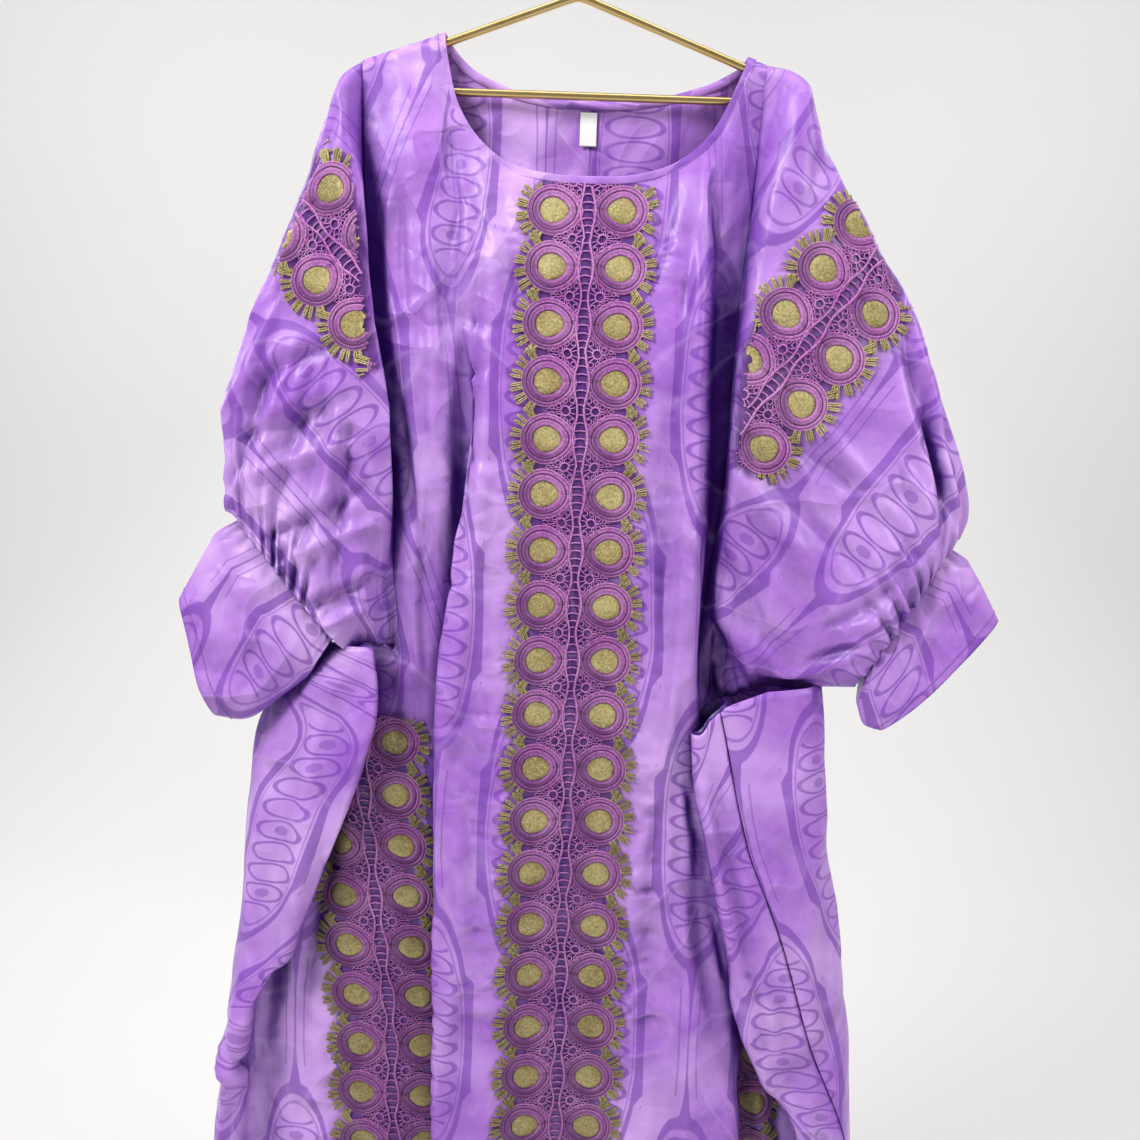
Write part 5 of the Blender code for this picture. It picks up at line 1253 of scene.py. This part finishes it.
def medallion(motif, side):
    """Drop-shaped wheel that points to the middle of the band: satin ridges round a padded gold centre."""
    centre = np.array((side * MEDALLION_AT, ROW_PITCH / 2))
    turn = np.linspace(0.0, 2.0 * np.pi, ROUND, endpoint=False)
    point = 1.0 + 0.17 * np.maximum(0.0, np.cos(turn)) ** 5
    across = -side * np.cos(turn)
    down = np.sin(turn)
    radii, heights, painted_groove_shade = np.array(SATIN_PROFILE).T
    reach = radii[:, None] * point[None, :]
    grid = spread(centre[0] + reach * across, centre[1] + reach * down * 0.99, heights[:, None])
    threads = spread(turn[None, :] * 20.0, radii[:, None])
    # painted shade: one side of each wheel is darker, as the satin's sheen turns away from the light
    lean = np.clip(0.5 - 0.75 * across * 0.8 + 0.35 * down, 0.0, 1.0)
    shades = np.clip(0.45 * lean[None, :] ** 2 + painted_groove_shade[:, None], 0.0, 1.0)
    motif.ring_grid(grid, threads, 0.0, True, shades)
    radii, heights = np.array(EGG_PROFILE).T
    sharper = 1.0 + 0.27 * np.maximum(0.0, np.cos(turn)) ** 4
    reach = radii[:, None] * sharper[None, :]
    grid = spread(centre[0] + reach * across, centre[1] + reach * down, heights[:, None])
    threads = np.stack([grid[:, :, 1] * 1.2, grid[:, :, 0] * 0.3], axis=2)
    motif.ring_grid(grid, threads, 1.0, True)


NET_RINGS = (
    # across, drop from the row's end, radius
    (8.8, 10.5, 2.7), (9.8, 16.6, 2.2), (22.4, 5.2, 2.7), (29.0, 3.0, 2.1), (15.6, 10.0, 2.4),
)
NET_BARS = (
    # across and drop of one end and of the other
    ((5.0, 3.5), (10.8, 1.8)), ((6.0, 8.0), (11.8, 4.0)), ((15.4, 4.6), (15.6, 7.8)),
    ((19.4, 2.4), (20.4, 3.6)), ((19.8, 0.4), (26.8, 1.4)), ((31.0, 2.2), (34.5, 1.0)),
    ((7.0, 13.2), (8.6, 14.6)), ((18.2, 4.0), (17.2, 8.2)),
)


def net(motif, side):
    """Bars, rings and small scallops between the wheels and the stems."""
    for down in (0.0, ROW_PITCH):
        inward = -1.0 if down else 1.0
        half = (0.0, 180.0) if not down else (180.0, 360.0)
        motif.ring(side * 15.2, down, 4.6, 1.05, start=half[0], end=half[1], count=8)
        for across, drop, radius in NET_RINGS:
            motif.ring(side * across, down + inward * drop, radius, 0.62, count=8)
        for bar in NET_BARS:
            motif.cord([(side * x, down + inward * y, WEB_HEIGHT) for x, y in bar], 0.6)


def stems(motif):
    """Two wavy stems that open to a lens in each row, with rungs across it."""
    down = np.linspace(0.0, ROW_PITCH, 15)
    half = 3.4 + 4.3 * np.sin(np.pi * down / ROW_PITCH) ** 2
    for side, thick in ((-1, 1.25), (1, 1.45)):
        motif.cord(spread(side * half, down, 2.0), thick)
    for rung in (5.0, 13.0, 21.0, 29.0, 37.0, 44.5, 51.5):
        reach = 3.4 + 4.3 * math.sin(math.pi * rung / ROW_PITCH) ** 2
        x = np.linspace(-reach, reach, 6)
        bend = 1.4 * (1.0 - (x / reach) ** 2)
        motif.cord(spread(x, rung - bend, 1.4), 0.85)


def lace_motif():
    """One row of the band: two wheels, the net between them and the stems."""
    motif = Motif()
    for side in (-1, 1):
        medallion(motif, side)
        net(motif, side)
    stems(motif)
    return motif.piece("lace row")


LOOP_PROFILE = (
    # share of its length, off its line, height, whether that is above the loop's own height
    (0.0, -0.8, 1.3, False), (0.35, -1.0, 0.0, True), (0.85, -1.05, 0.6, True), (1.0, -0.4, 0.3, True),
    (1.0, 0.4, 0.3, True), (0.85, 1.05, 0.5, True), (0.35, 1.0, 0.0, True), (0.0, 0.8, 1.3, False),
)
JOINING_LOOP = ((45.5, -6.0, 1.6), (49.5, -2.6, 2.2), (51.0, 0.0, 2.3), (49.5, 2.6, 2.2), (45.5, 6.0, 1.6))


def fringe_motif(side):
    """Gold loops along one edge of the band, and the zigzag that joins one wheel to the next."""
    motif = Motif()
    random = np.random.default_rng(41 + side)
    centre = np.array((side * MEDALLION_AT, ROW_PITCH / 2))
    angles = np.linspace(-LOOP_SPREAD, LOOP_SPREAD, LOOPS) + np.tile((1.2, -1.2), LOOPS // 2)
    for angle in angles:
        lean = random.uniform(-5.0, 5.0)
        length = LOOP_LENGTH * random.uniform(0.85, 1.1)
        way, tip = (np.array((side * math.cos(turn), math.sin(turn)))
                    for turn in np.radians((angle, angle + lean)))
        beside = np.array((-tip[1], tip[0]))
        root = centre + way * (MEDALLION_RADIUS - 0.8)
        height = random.uniform(1.6, 2.6)
        line = []
        for along, off, up, leans in LOOP_PROFILE:
            at = root + tip * along * length + beside * off
            line.append((at[0], at[1], height + up if leans else up))
        motif.cord(line, 1.0, 1.0)
    motif.cord([(side * x, y + ROW_PITCH, h) for x, y, h in JOINING_LOOP], 0.9, 1.0)
    return motif.piece("fringe row")


BAND_SCALE = 0.5            # the band's map takes up half a unit for each metre
BAND_SHIFT = 0.05


def tree_of(name, inputs):
    """Geometry tree with named inputs; gives it, and its group input's sockets by name."""
    tree = bpy.data.node_groups.new(name, "GeometryNodeTree")
    tree.interface.new_socket("Geometry", in_out="OUTPUT", socket_type="NodeSocketGeometry")
    for label, kind, value in inputs:
        socket = tree.interface.new_socket(label, in_out="INPUT", socket_type="NodeSocket" + kind)
        if value is not None:
            socket.default_value = value
    return tree, tree.nodes.new("NodeGroupInput").outputs


def finish_tree(tree, geometry, material, second=None, chosen=None):
    """Ends a tree in plain mesh with its materials."""
    plain = add(tree, "GeometryNodeRealizeInstances", geometry)
    coated = add(tree, "GeometryNodeSetMaterial", {"Geometry": plain, "Material": material})
    if second is not None:
        coated = add(tree, "GeometryNodeSetMaterial",
                     {"Geometry": coated, "Selection": chosen, "Material": second})
    tree.links.new(coated, tree.nodes.new("NodeGroupOutput").inputs[0])


def lace_tree():
    """Rows of one motif, laid along a band and lifted on to the cloth under it."""
    tree, given = tree_of("lace laid on the cloth", (
        ("Motif", "Object", None), ("Cloth", "Object", None), ("Rows", "Int", 10),
        ("Row pitch", "Float", 0.0565), ("Start", "Float", 0.0), ("Unevenness", "Float", 0.02),
        ("Seed", "Int", 1), ("Yarn", "Material", None), ("Gold yarn", "Material", None)))
    motif, cloth = (add(tree, "GeometryNodeObjectInfo", {"Object": given[label]}, out="Geometry")
                    for label in ("Motif", "Cloth"))
    step, start = (add(tree, "ShaderNodeCombineXYZ", {"Y": given[label]}) for label in ("Row pitch", "Start"))
    line = add(tree, "GeometryNodeMeshLine", {"Count": given["Rows"], "Start Location": start,
                                              "Offset": step})
    low, high = (add(tree, "ShaderNodeCombineXYZ", {"Z": ("MULTIPLY", given["Unevenness"], sign)})
                 for sign in (-1.0, 1.0))
    turn = add(tree, "FunctionNodeRandomValue", {"Min": low, "Max": high, "Seed": given["Seed"]},
               data_type="FLOAT_VECTOR")
    rows = add(tree, "GeometryNodeInstanceOnPoints", {"Points": line, "Instance": motif, "Rotation": turn})
    flat = add(tree, "GeometryNodeRealizeInstances", rows)
    place = add(tree, "GeometryNodeInputPosition")
    at = add(tree, "ShaderNodeVectorMath", place, (BAND_SCALE,) * 3, (BAND_SHIFT, 0.01, 0.0),
             operation="MULTIPLY_ADD")
    band = add(tree, "GeometryNodeInputNamedAttribute", {"Name": "band"}, data_type="FLOAT_VECTOR")
    spot, normal = (add(tree, "GeometryNodeSampleUVSurface",
                        {"Mesh": cloth, "Value": add(tree, kind), "UV Map": band, "Sample UV": at},
                        out="Value", data_type="FLOAT_VECTOR")
                    for kind in ("GeometryNodeInputPosition", "GeometryNodeInputNormal"))
    astray = add(tree, "FunctionNodeBooleanMath", spot.node.outputs["Is Valid"], operation="NOT")
    kept = add(tree, "GeometryNodeDeleteGeometry", {"Geometry": flat, "Selection": astray})
    height = add(tree, "ShaderNodeSeparateXYZ", place, out="Z")
    up = add(tree, "ShaderNodeVectorMath", {0: normal, "Scale": height}, operation="SCALE")
    laid = add(tree, "ShaderNodeVectorMath", spot, up, operation="ADD")
    moved = add(tree, "GeometryNodeSetPosition", {"Geometry": kept, "Position": laid})
    gold = add(tree, "GeometryNodeInputNamedAttribute", {"Name": "gold"}, data_type="FLOAT")
    finish_tree(tree, moved, given["Yarn"], given["Gold yarn"], add(tree, "GREATER_THAN", gold, 0.5))
    return tree


def grown(name, tree, **values):
    """Plain mesh that a tree makes with these inputs."""
    holder = put(name + " holder", bpy.data.meshes.new(name + " holder"))
    maker = holder.modifiers.new("maker", "NODES")
    maker.node_group = tree
    sockets = {item.name: item.identifier for item in tree.interface.items_tree if item.in_out == "INPUT"}
    for label, value in values.items():
        maker[sockets[label.replace("_", " ")]] = value
    bpy.context.view_layer.update()
    graph = bpy.context.evaluated_depsgraph_get()
    mesh = bpy.data.meshes.new_from_object(holder.evaluated_get(graph))
    bpy.data.objects.remove(holder)
    return put(name, mesh)


def shown_face(piece, grid):
    """The shaped cloth as a grid again, in table millimetres."""
    face = np.full(grid.shape, np.nan)
    used = used_points(grid_faces(grid.shape[:2], ~np.isnan(grid[:, :, 0])))
    face.reshape(-1, 3)[used] = millimetres(coordinates(piece.data))
    return face


LATTICE = 5.0               # mesh of the hidden sheets that carry the bands
LACE_HALF = 74.0            # from a band's centre line to the side of its sheet
SHADED_HALF = 45.0          # and to where the lace stops shading the cloth


def band_mesh(name, lattice, acrosses, downs, present=None):
    """Hidden sheet that carries a band's flat map: its points lie on the cloth."""
    grid = np.stack(np.meshgrid(downs, acrosses, indexing="ij")[::-1], axis=2).reshape(-1, 2)
    flat = grid / 1000.0 * BAND_SCALE + (BAND_SHIFT, 0.01)
    faces = grid_faces(lattice.shape[:2], present)
    piece = mesh_piece(name, metres(lattice.reshape(-1, 3)), faces, [], {"band": flat})
    if sum(p.normal.y * p.area for p in piece.data.polygons) > 0.0:
        piece.data.flip_normals()
    return piece


def front_lattice(face, grid, top, rows, first, last, centre_line):
    """Points on the front under a band, at even lengths of cloth from its centre line."""
    first, last = fold_column(first), fold_column(last)
    centre_line = np.array(centre_line, float)
    acrosses = np.arange(-LACE_HALF, LACE_HALF + 0.1, LATTICE)
    downs = np.arange(0.0, min(rows * ROW_PITCH, top - HEM) + 0.1, LATTICE)
    lattice = []
    for down in downs:
        z = top - down
        section = []
        for c in range(first, last + 1):
            there = ~np.isnan(face[:, c, 0])
            section.append([np.interp(-z, -grid[there, c, 2], face[there, c, k]) for k in (0, 1, 2)])
        section = np.array(section)
        run = run_along(section[:, :2])
        middle_x = np.interp(-z, -centre_line[:, 0], centre_line[:, 1])
        at = np.interp(middle_x, section[:, 0], run) + acrosses
        line = np.stack([np.interp(at, run, section[:, k]) for k in (0, 1, 2)], axis=1)
        for end, way in ((0, section[0] - section[3]), (-1, section[-1] - section[-4])):
            way = way / np.linalg.norm(way)
            beyond = -at if end == 0 else at - run[-1]
            line = np.where((beyond > 0.0)[:, None], section[end] + way * beyond[:, None], line)
        lattice.append(line)
    return np.array(lattice), acrosses, downs


def sleeve_lattice(piece, centre, way, before, after):
    """Points on a sleeve's face under a band, and which of them lie on it."""
    tree = surface_tree(piece)
    down = np.array(way, float) / math.hypot(*way)
    right = np.array((-down[1], down[0]))
    acrosses = np.arange(-LACE_HALF, LACE_HALF + 0.1, LATTICE)
    downs = np.arange(before, after + 0.1, LATTICE)
    lattice = np.full((len(downs), len(acrosses), 3), np.nan)
    for i, d in enumerate(downs):
        for j, a in enumerate(acrosses):
            x, z = np.array(centre, float) + right * a + down * d
            hit = tree.ray_cast(Vector(metres((x, -400.0, z))), Vector((0.0, 1.0, 0.0)), 0.6)[0]
            if hit:
                lattice[i, j] = millimetres(hit)
    slope = np.zeros(lattice.shape[:2])
    for axis in (0, 1):
        step = np.abs(np.diff(lattice[:, :, 1], axis=axis))
        pad = [(0, 0), (0, 0)]
        pad[axis] = (0, 1)
        slope = np.maximum(slope, np.pad(step, pad))
        pad[axis] = (1, 0)
        slope = np.maximum(slope, np.pad(step, pad))
    return lattice, acrosses, downs, ~np.isnan(lattice[:, :, 0]) & (slope < 3.0 * LATTICE)


FRONT_BANDS = (
    # name, top, rows, folds at its sides, centre line (z, x)
    ("center", -255.0, 23.8, "edge_out", "ridge_right", ((-255, 0), (-1600, 0))),
    ("left_lower", -806.0, 14.0, "tuck_left_in", "pleat_in",
     ((-806, -219), (-900, -214), (-1020, -200), (-1140, -184), (-1260, -178), (-1600, -172))),
    ("right_lower", -1146.0, 8.0, "under_centre_in", "tuck_right", ((-1146, 184), (-1600, 184))),
)
SLEEVE_BANDS = (
    # name, side, centre of one row (x, z), first and last length down it
    ("left_upper", "left", (-239, -339), -95.0, 100.0),
    ("right_upper", "right", (224, -401), -130.0, 140.0),
)

LACE_TREE = lace_tree()
LACE_ROW, LEFT_FRINGE, RIGHT_FRINGE = lace_motif(), fringe_motif(-1), fringe_motif(1)
laces, fringes = {}, {}


def lay_band(name, carrier, start, rows, seed):
    """Lace and its two fringes on the cloth under them."""
    common = dict(Cloth=carrier, Rows=rows, Row_pitch=ROW_PITCH / 1000.0, Start=start / 1000.0,
                  Seed=seed, Yarn=SATIN, Gold_yarn=GOLD)
    laces[name] = grown("lace_" + name + "_worked", LACE_TREE, Motif=LACE_ROW, **common)
    for side, motif in (("left", LEFT_FRINGE), ("right", RIGHT_FRINGE)):
        fringes[name + "_" + side] = grown("loops_" + name + "_" + side, LACE_TREE, Motif=motif, **common)


def shade_under(piece, lattice, acrosses):
    """Marks the cloth that lies in the shade of the lace, for its material to paint that shade darker."""
    near = lattice[:, np.abs(acrosses) <= SHADED_HALF].reshape(-1, 3)
    near = metres(near[~np.isnan(near[:, 0])])
    tree = point_tree(near)
    covered = marks(piece, "under_lace")
    for i, vertex in enumerate(piece.data.vertices):
        distance = tree.find(vertex.co)[2] * 1000.0
        covered[i] = max(covered[i], min(1.0, max(0.0, (LATTICE * 1.6 - distance) / LATTICE)))
    mark(piece, "under_lace", covered)


front_face = shown_face(front, front_grid)
carriers = []
for seed, (name, top, rows, first, last, centre_line) in enumerate(FRONT_BANDS):
    lattice, acrosses, downs = front_lattice(front_face, front_grid, top, rows, first, last, centre_line)
    carriers.append(band_mesh("under " + name, lattice, acrosses, downs))
    shade_under(front, lattice, acrosses)
    lay_band(name, carriers[-1], 0.0, math.ceil(rows), seed)
for seed, (name, side, centre, before, after) in enumerate(SLEEVE_BANDS):
    lattice, acrosses, downs, present = sleeve_lattice(sleeves[side], centre, SLEEVE_WAY[side], before, after)
    shade_under(sleeves[side], np.where(present[:, :, None], lattice, np.nan), acrosses)
    lattice = np.where(present[:, :, None], lattice, 0.0)
    carriers.append(band_mesh("under " + name, lattice, acrosses, downs - before, present))
    rows = math.ceil((after - before) / ROW_PITCH) + 1
    first_row = (-before - ROW_PITCH / 2) % ROW_PITCH - ROW_PITCH
    lay_band(name, carriers[-1], first_row, rows, 10 + seed)


LIT_ABOVE, LOW_SHADE = -0.45, 0.6       # height where the shade begins, and its share for each metre below


def shade_yarn(pieces):
    """Darkens yarn that lies deep in the folds, and a little towards the hem, out of the light."""
    depths = np.concatenate([marks(cloth, "depth") for cloth in clothes])
    tree = point_tree([vertex.co for cloth in clothes for vertex in cloth.data.vertices])
    for piece in pieces:
        low = np.clip((LIT_ABOVE - coordinates(piece.data)[:, 2]) * LOW_SHADE, 0.0, 0.4)
        near = np.array([depths[tree.find(v.co)[1]] for v in piece.data.vertices])
        mark(piece, "shade", np.clip(np.maximum(marks(piece, "shade"), near * 0.6 - 0.15) + low, 0.0, 1.0))


shade_yarn([*laces.values(), *fringes.values()])
for helper in carriers + [LACE_ROW, LEFT_FRINGE, RIGHT_FRINGE]:
    bpy.data.objects.remove(helper)


# ---- stitches --------------------------------------------------------------------------------
def stitch_tree():
    """Short stitches, end to end with a gap, along a line of points."""
    tree, given = tree_of("stitches along a seam", (
        ("Seam", "Object", None), ("Stitch", "Object", None), ("Pitch", "Float", 0.0034),
        ("Thread", "Material", None)))
    seam, stitch = (add(tree, "GeometryNodeObjectInfo", {"Object": given[label]}, out="Geometry")
                    for label in ("Seam", "Stitch"))
    line = add(tree, "GeometryNodeMeshToCurve", seam)
    spaced = add(tree, "GeometryNodeResampleCurve", {"Curve": line, "Length": given["Pitch"]}, mode="LENGTH")
    way = add(tree, "GeometryNodeInputTangent")
    turn = add(tree, "FunctionNodeAlignRotationToVector", {"Vector": way}, axis="X")
    rows = add(tree, "GeometryNodeInstanceOnPoints", {"Points": spaced, "Instance": stitch, "Rotation": turn})
    finish_tree(tree, rows, given["Thread"])
    return tree


def stitch_shape():
    """One stitch: thread that bows up out of the cloth and down again."""
    motif = Motif()
    motif.cord([(-1.25, 0, -0.25), (-0.7, 0, 0.2), (0.7, 0, 0.2), (1.25, 0, -0.25)], 0.32)
    return motif.piece("stitch")


def seam_line(points_mm):
    """Closed loop of loose edges, for stitches to follow."""
    mesh = bpy.data.meshes.new("seam")
    count = len(points_mm)
    edges = [(i, (i + 1) % count) for i in range(count)]
    mesh.from_pydata(metres(points_mm).tolist(), edges, [])
    return put("seam", mesh)


STITCH_TREE, STITCH = stitch_tree(), stitch_shape()
stitches = {}
HEM_ROW = len(CUFF_DOWNS) - 4           # row of the cuff's grid that its hem is sewn along


def sew(name, points_mm):
    """A closed row of stitches."""
    line = seam_line(points_mm)
    stitches[name] = grown("stitches_" + name, STITCH_TREE, Seam=line, Stitch=STITCH, Thread=THREAD)
    bpy.data.objects.remove(line)


def row_of(piece, row, columns):
    """Points just over one row of a piece's grid, in table millimetres."""
    over = coordinates(piece.data) + coordinates(piece.data, normals=True) * 0.0003
    return millimetres(over[row * columns:(row + 1) * columns])


for side, cuff in cuffs.items():
    columns = len(cuff.data.vertices) // len(CUFF_DOWNS)
    sew("cuff_" + side, row_of(cuff, HEM_ROW, columns))
sew("neck", neck_inner + (neck_outer - neck_inner) * 0.84 + neck_out * 0.85)
bpy.data.objects.remove(STITCH)


# ---- hanger and label ------------------------------------------------------------------------
TUBE_SIDES = 24


def tube(name, line_mm, radius, material, closed):
    """Round bar in the plane of the hanger."""
    line = np.array(line_mm, float)
    way = np.roll(line, -1, axis=0) - np.roll(line, 1, axis=0)
    if not closed:
        way[0], way[-1] = line[1] - line[0], line[-1] - line[-2]
    way /= np.linalg.norm(way, axis=1)[:, None]
    aside = np.stack([-way[:, 2], np.zeros(len(way)), way[:, 0]], axis=1)
    turn = 2.0 * np.pi * np.arange(TUBE_SIDES) / TUBE_SIDES
    grid = line[:, None] + radius * (np.cos(turn)[None, :, None] * aside[:, None]
                                     + np.sin(turn)[None, :, None] * np.array((0.0, 1.0, 0.0)))
    if closed:
        grid = np.concatenate([grid, grid[:1]])
    else:
        cap = [line[0] - way[0] * radius * 0.35, line[-1] + way[-1] * radius * 0.35]
        ends = [cap[0] + (grid[0] - line[0]) * 0.6, cap[1] + (grid[-1] - line[-1]) * 0.6]
        grid = np.concatenate([[np.repeat(cap[:1], TUBE_SIDES, axis=0)], [ends[0]], grid, [ends[1]],
                               [np.repeat(cap[1:], TUBE_SIDES, axis=0)]])
    piece = grid_tube(name, grid, material, table=False)
    weld(piece, 0.00002)
    outwards(piece)
    return piece


def hanger_line():
    """Centre line of the arms, the round ends and the bar."""
    fall = math.atan(HANGER_SLOPE)
    middle_x, middle_z = HANGER_HALF_WIDTH - HANGER_CORNER, HANGER_BAR_Z + HANGER_CORNER
    turns = [math.pi / 2 - fall - k * (math.pi - fall) / 14 for k in range(15)]
    right = [(middle_x + HANGER_CORNER * math.cos(a), 0.0, middle_z + HANGER_CORNER * math.sin(a))
             for a in turns]
    peak = [(x, 0.0, HANGER_TOP_Z - 0.3 - HANGER_SLOPE * (math.sqrt(x * x + 9.0) - 3.0))
            for x in np.linspace(-14, 14, 9)]
    arm = np.linspace(14.0, right[0][0], 16)[1:-1]
    right_arm = [(x, 0.0, peak[-1][2] + (right[0][2] - peak[-1][2]) * (x - 14.0) / (right[0][0] - 14.0))
                 for x in arm]
    bar = [(x, 0.0, right[-1][2]) for x in np.linspace(right[-1][0], -right[-1][0], 30)[1:-1]]
    left = [(-x, y, z) for x, y, z in right[::-1]]
    left_arm = [(-x, y, z) for x, y, z in right_arm[::-1]]
    return peak + right_arm + right + bar + left + left_arm


def hook_line():
    """Stem and bend of the hook, from just above the hanger."""
    radius = HOOK_INNER_RADIUS + HOOK_WIRE / 2
    foot = HANGER_TOP_Z + HANGER_TUBE / 2 + 0.4
    stem = [(0.0, 0.0, z) for z in np.linspace(foot + 0.9, -50.0, 8)] + [(0.8, 0.0, -46.8), (2.6, 0.0, -43.5)]
    turns = np.radians(np.linspace(-52.0, 203.0, 44))
    return stem + [(radius * math.cos(a), 0.0, -HOOK_INNER_RADIUS + radius * math.sin(a)) for a in turns]


hanger = tube("hanger_frame", hanger_line(), HANGER_TUBE / 2, PLATED, True)
hook = tube("hanger_hook", hook_line(), HOOK_WIRE / 2, PLATED, False)


LABEL_SIZE = (17.0, 33.0, 0.7)
LABEL_TOP = (-2.0, 15.9, -180.5)


def make_label():
    """Bare tape, folded under at its top and foot, bowed a little by its stitches."""
    width, height, thick = LABEL_SIZE
    x0, y0, z0 = LABEL_TOP
    rows, columns = 26, 12
    across = np.linspace(-width / 2, width / 2, columns)
    down = np.linspace(0.0, height, rows)
    lines = []
    for d in down:
        bow = 0.5 * math.sin(math.pi * d / height) - 0.25
        edge = 0.18 if 2.5 < d < height - 2.5 else 0.0
        front_line = [(x0 + a, y0 - thick / 2 + edge - bow * (1 - (2 * a / width) ** 2) * 0.5, z0 - d)
                      for a in across]
        back_line = [(x0 + a, y0 + thick / 2, z0 - d) for a in across[::-1]]
        lines.append(front_line + back_line)
    grid = np.array(lines)
    caps = np.repeat(grid.mean(axis=1, keepdims=True), grid.shape[1], axis=1)
    piece = grid_tube("label_tape", np.concatenate([caps[:1], grid, caps[-1:]]), TAPE)
    weld(piece, 0.00002)
    outwards(piece)
    return piece


label = make_label()


# ---- backdrop, lights and camera -------------------------------------------------------------
def make_backdrop():
    """Pale floor that sweeps up into a wall."""
    profile = [(-3.2, -1.72), (1.8, -1.72)]
    profile += [(1.8 + 1.1 * math.sin(a), -0.62 - 1.1 * math.cos(a))
                for a in np.linspace(0.1, math.pi / 2, 14)]
    profile += [(2.9, 2.6)]
    grid = np.array([[(x, y, z) for x in np.linspace(-4.5, 4.5, 3)] for y, z in profile])
    sweep = mesh_piece("backdrop", grid.reshape(-1, 3), grid_faces(grid.shape[:2]), [PAINT])
    if sum(p.normal.z * p.area for p in sweep.data.polygons) < 0.0:
        sweep.data.flip_normals()
    return sweep


def soft_light(name, place, aim, size, watts, code):
    """Large soft lamp turned to a point."""
    lamp = bpy.data.lights.new(name, "AREA")
    lamp.shape = "RECTANGLE"
    lamp.size, lamp.size_y = size
    lamp.energy = watts
    lamp.color = linear(code)[:3]
    turn = (Vector(aim) - Vector(place)).to_track_quat("-Z", "Y")
    put(name, lamp).matrix_world = Matrix.Translation(place) @ turn.to_matrix().to_4x4()


LAMPS = (
    # name, place, what it points at, width and height, watts, colour
    ("window left", (-1.7, -1.5, 1.1), (0.0, 0.0, -0.7), (0.8, 0.9), 66.0, "#FFFDFA"),
    ("window right", (2.0, -1.3, 0.6), (0.0, 0.0, -0.6), (0.7, 1.1), 30.0, "#FFFCFA"),
    ("above", (0.0, -0.3, 1.6), (0.0, 0.2, -0.9), (2.0, 1.0), 24.0, "#FFFFFF"),
    ("wash left", (-2.0, 1.0, 1.2), (-0.4, 2.9, -0.4), (1.2, 1.2), 15.0, "#FFFFFF"),
    ("wash right", (2.0, 1.0, 1.2), (0.4, 2.9, -0.4), (1.2, 1.2), 15.0, "#FFFFFF"),
    ("behind left", (-1.8, 1.9, 0.3), (0.0, 0.0, -0.9), (1.2, 1.4), 9.0, "#FFFFFF"),
    ("behind right", (1.8, 1.9, 0.5), (0.0, 0.0, -0.9), (1.2, 1.4), 9.0, "#FFFFFF"),
)
backdrop = make_backdrop()
for lamp in LAMPS:
    soft_light(*lamp)
world = bpy.data.worlds.new("pale room")
bpy.context.scene.world = world
world.use_nodes = True
room_light = world.node_tree.nodes["Background"].inputs
room_light["Color"].default_value, room_light["Strength"].default_value = linear("#F4F4F6"), 0.3
bpy.context.scene.view_settings.view_transform = "Standard"

lens = bpy.data.cameras.new("view")
lens.sensor_width = 36.0
lens.lens = 36.0 * 1170.0 / 1140.0
camera = put("view", lens)
pitch, roll = (Matrix.Rotation(math.radians(a), 4, axis) for a, axis in ((82.5, "X"), (2.0, "Z")))
camera.matrix_world = Matrix.Translation((0.011, -1.222, -0.486)) @ pitch @ roll
bpy.context.scene.camera = camera

# ---- what each piece rides on; the tables list its slot and how it was cut -------------------
def dress(piece, slot, *nodes):
    """Rides a piece on the only body, in place of the CAD nodes that it shows; slot is not used."""
    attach(piece, "root")
    if nodes:
        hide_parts(*nodes)


SHEETS = (
    # piece, slot, node, width and length before sewing (m), area of the cut (m2), how it is held, on what
    (front, "bazin", "front", (1.10, 1.50), 1.28, "hung", hanger),
    (backs["left"], "bazin", "back_left", (0.36, 1.48), 0.46, "hung", hanger),
    (backs["right"], "bazin", "back_right", (0.36, 1.48), 0.45, "hung", hanger),
    (sleeves["left"], "bazin", "sleeve_left", (0.60, 0.40), 0.19, "gathered", front),
    (sleeves["right"], "bazin", "sleeve_right", (0.66, 0.46), 0.28, "gathered", front),
    (cuffs["left"], "bazin", "cuff_left", (0.38, 0.14), 0.047, "gathered", sleeves["left"]),
    (cuffs["right"], "bazin", "cuff_right", (0.34, 0.11), 0.033, "gathered", sleeves["right"]),
    (binding, "bazin", "neck_binding", (0.0105, 0.86), None, "laid", front),
    (label, "woven_label", "neck_label", (0.017, 0.037), None, "hung", backs["left"]),
)
BAND_SHEETS = (
    # name, rows that show, rows in its flat length, the cloth it is sewn to
    ("center", 23.8, 23.8, front), ("left_lower", 14.1, 14.1, front), ("right_lower", 8.05, 8.1, front),
    ("left_upper", 1.8, 3.4, sleeves["left"]), ("right_upper", 3.75, 4.8, sleeves["right"]),
)

dress(hanger, "satin_gold_metal", "hanger")
dress(hook, "satin_gold_metal", "hook")
for sewn in stitches.values():
    dress(sewn, "bazin")
for piece, slot, node, flat, area, held, support in SHEETS:
    dress(piece, slot, node)
    sewn = stitches.get(node.removesuffix("_binding"))
for name, shown, rows, cloth in BAND_SHEETS:
    edges = [name + "_left", name + "_right"]
    for piece, slot, node in [(laces[name], "guipure_lace", "lace_" + name)] + [
            (fringes[edge], "metallic_yarn", "fringe_" + edge) for edge in edges]:
        dress(piece, slot, *([node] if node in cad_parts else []))
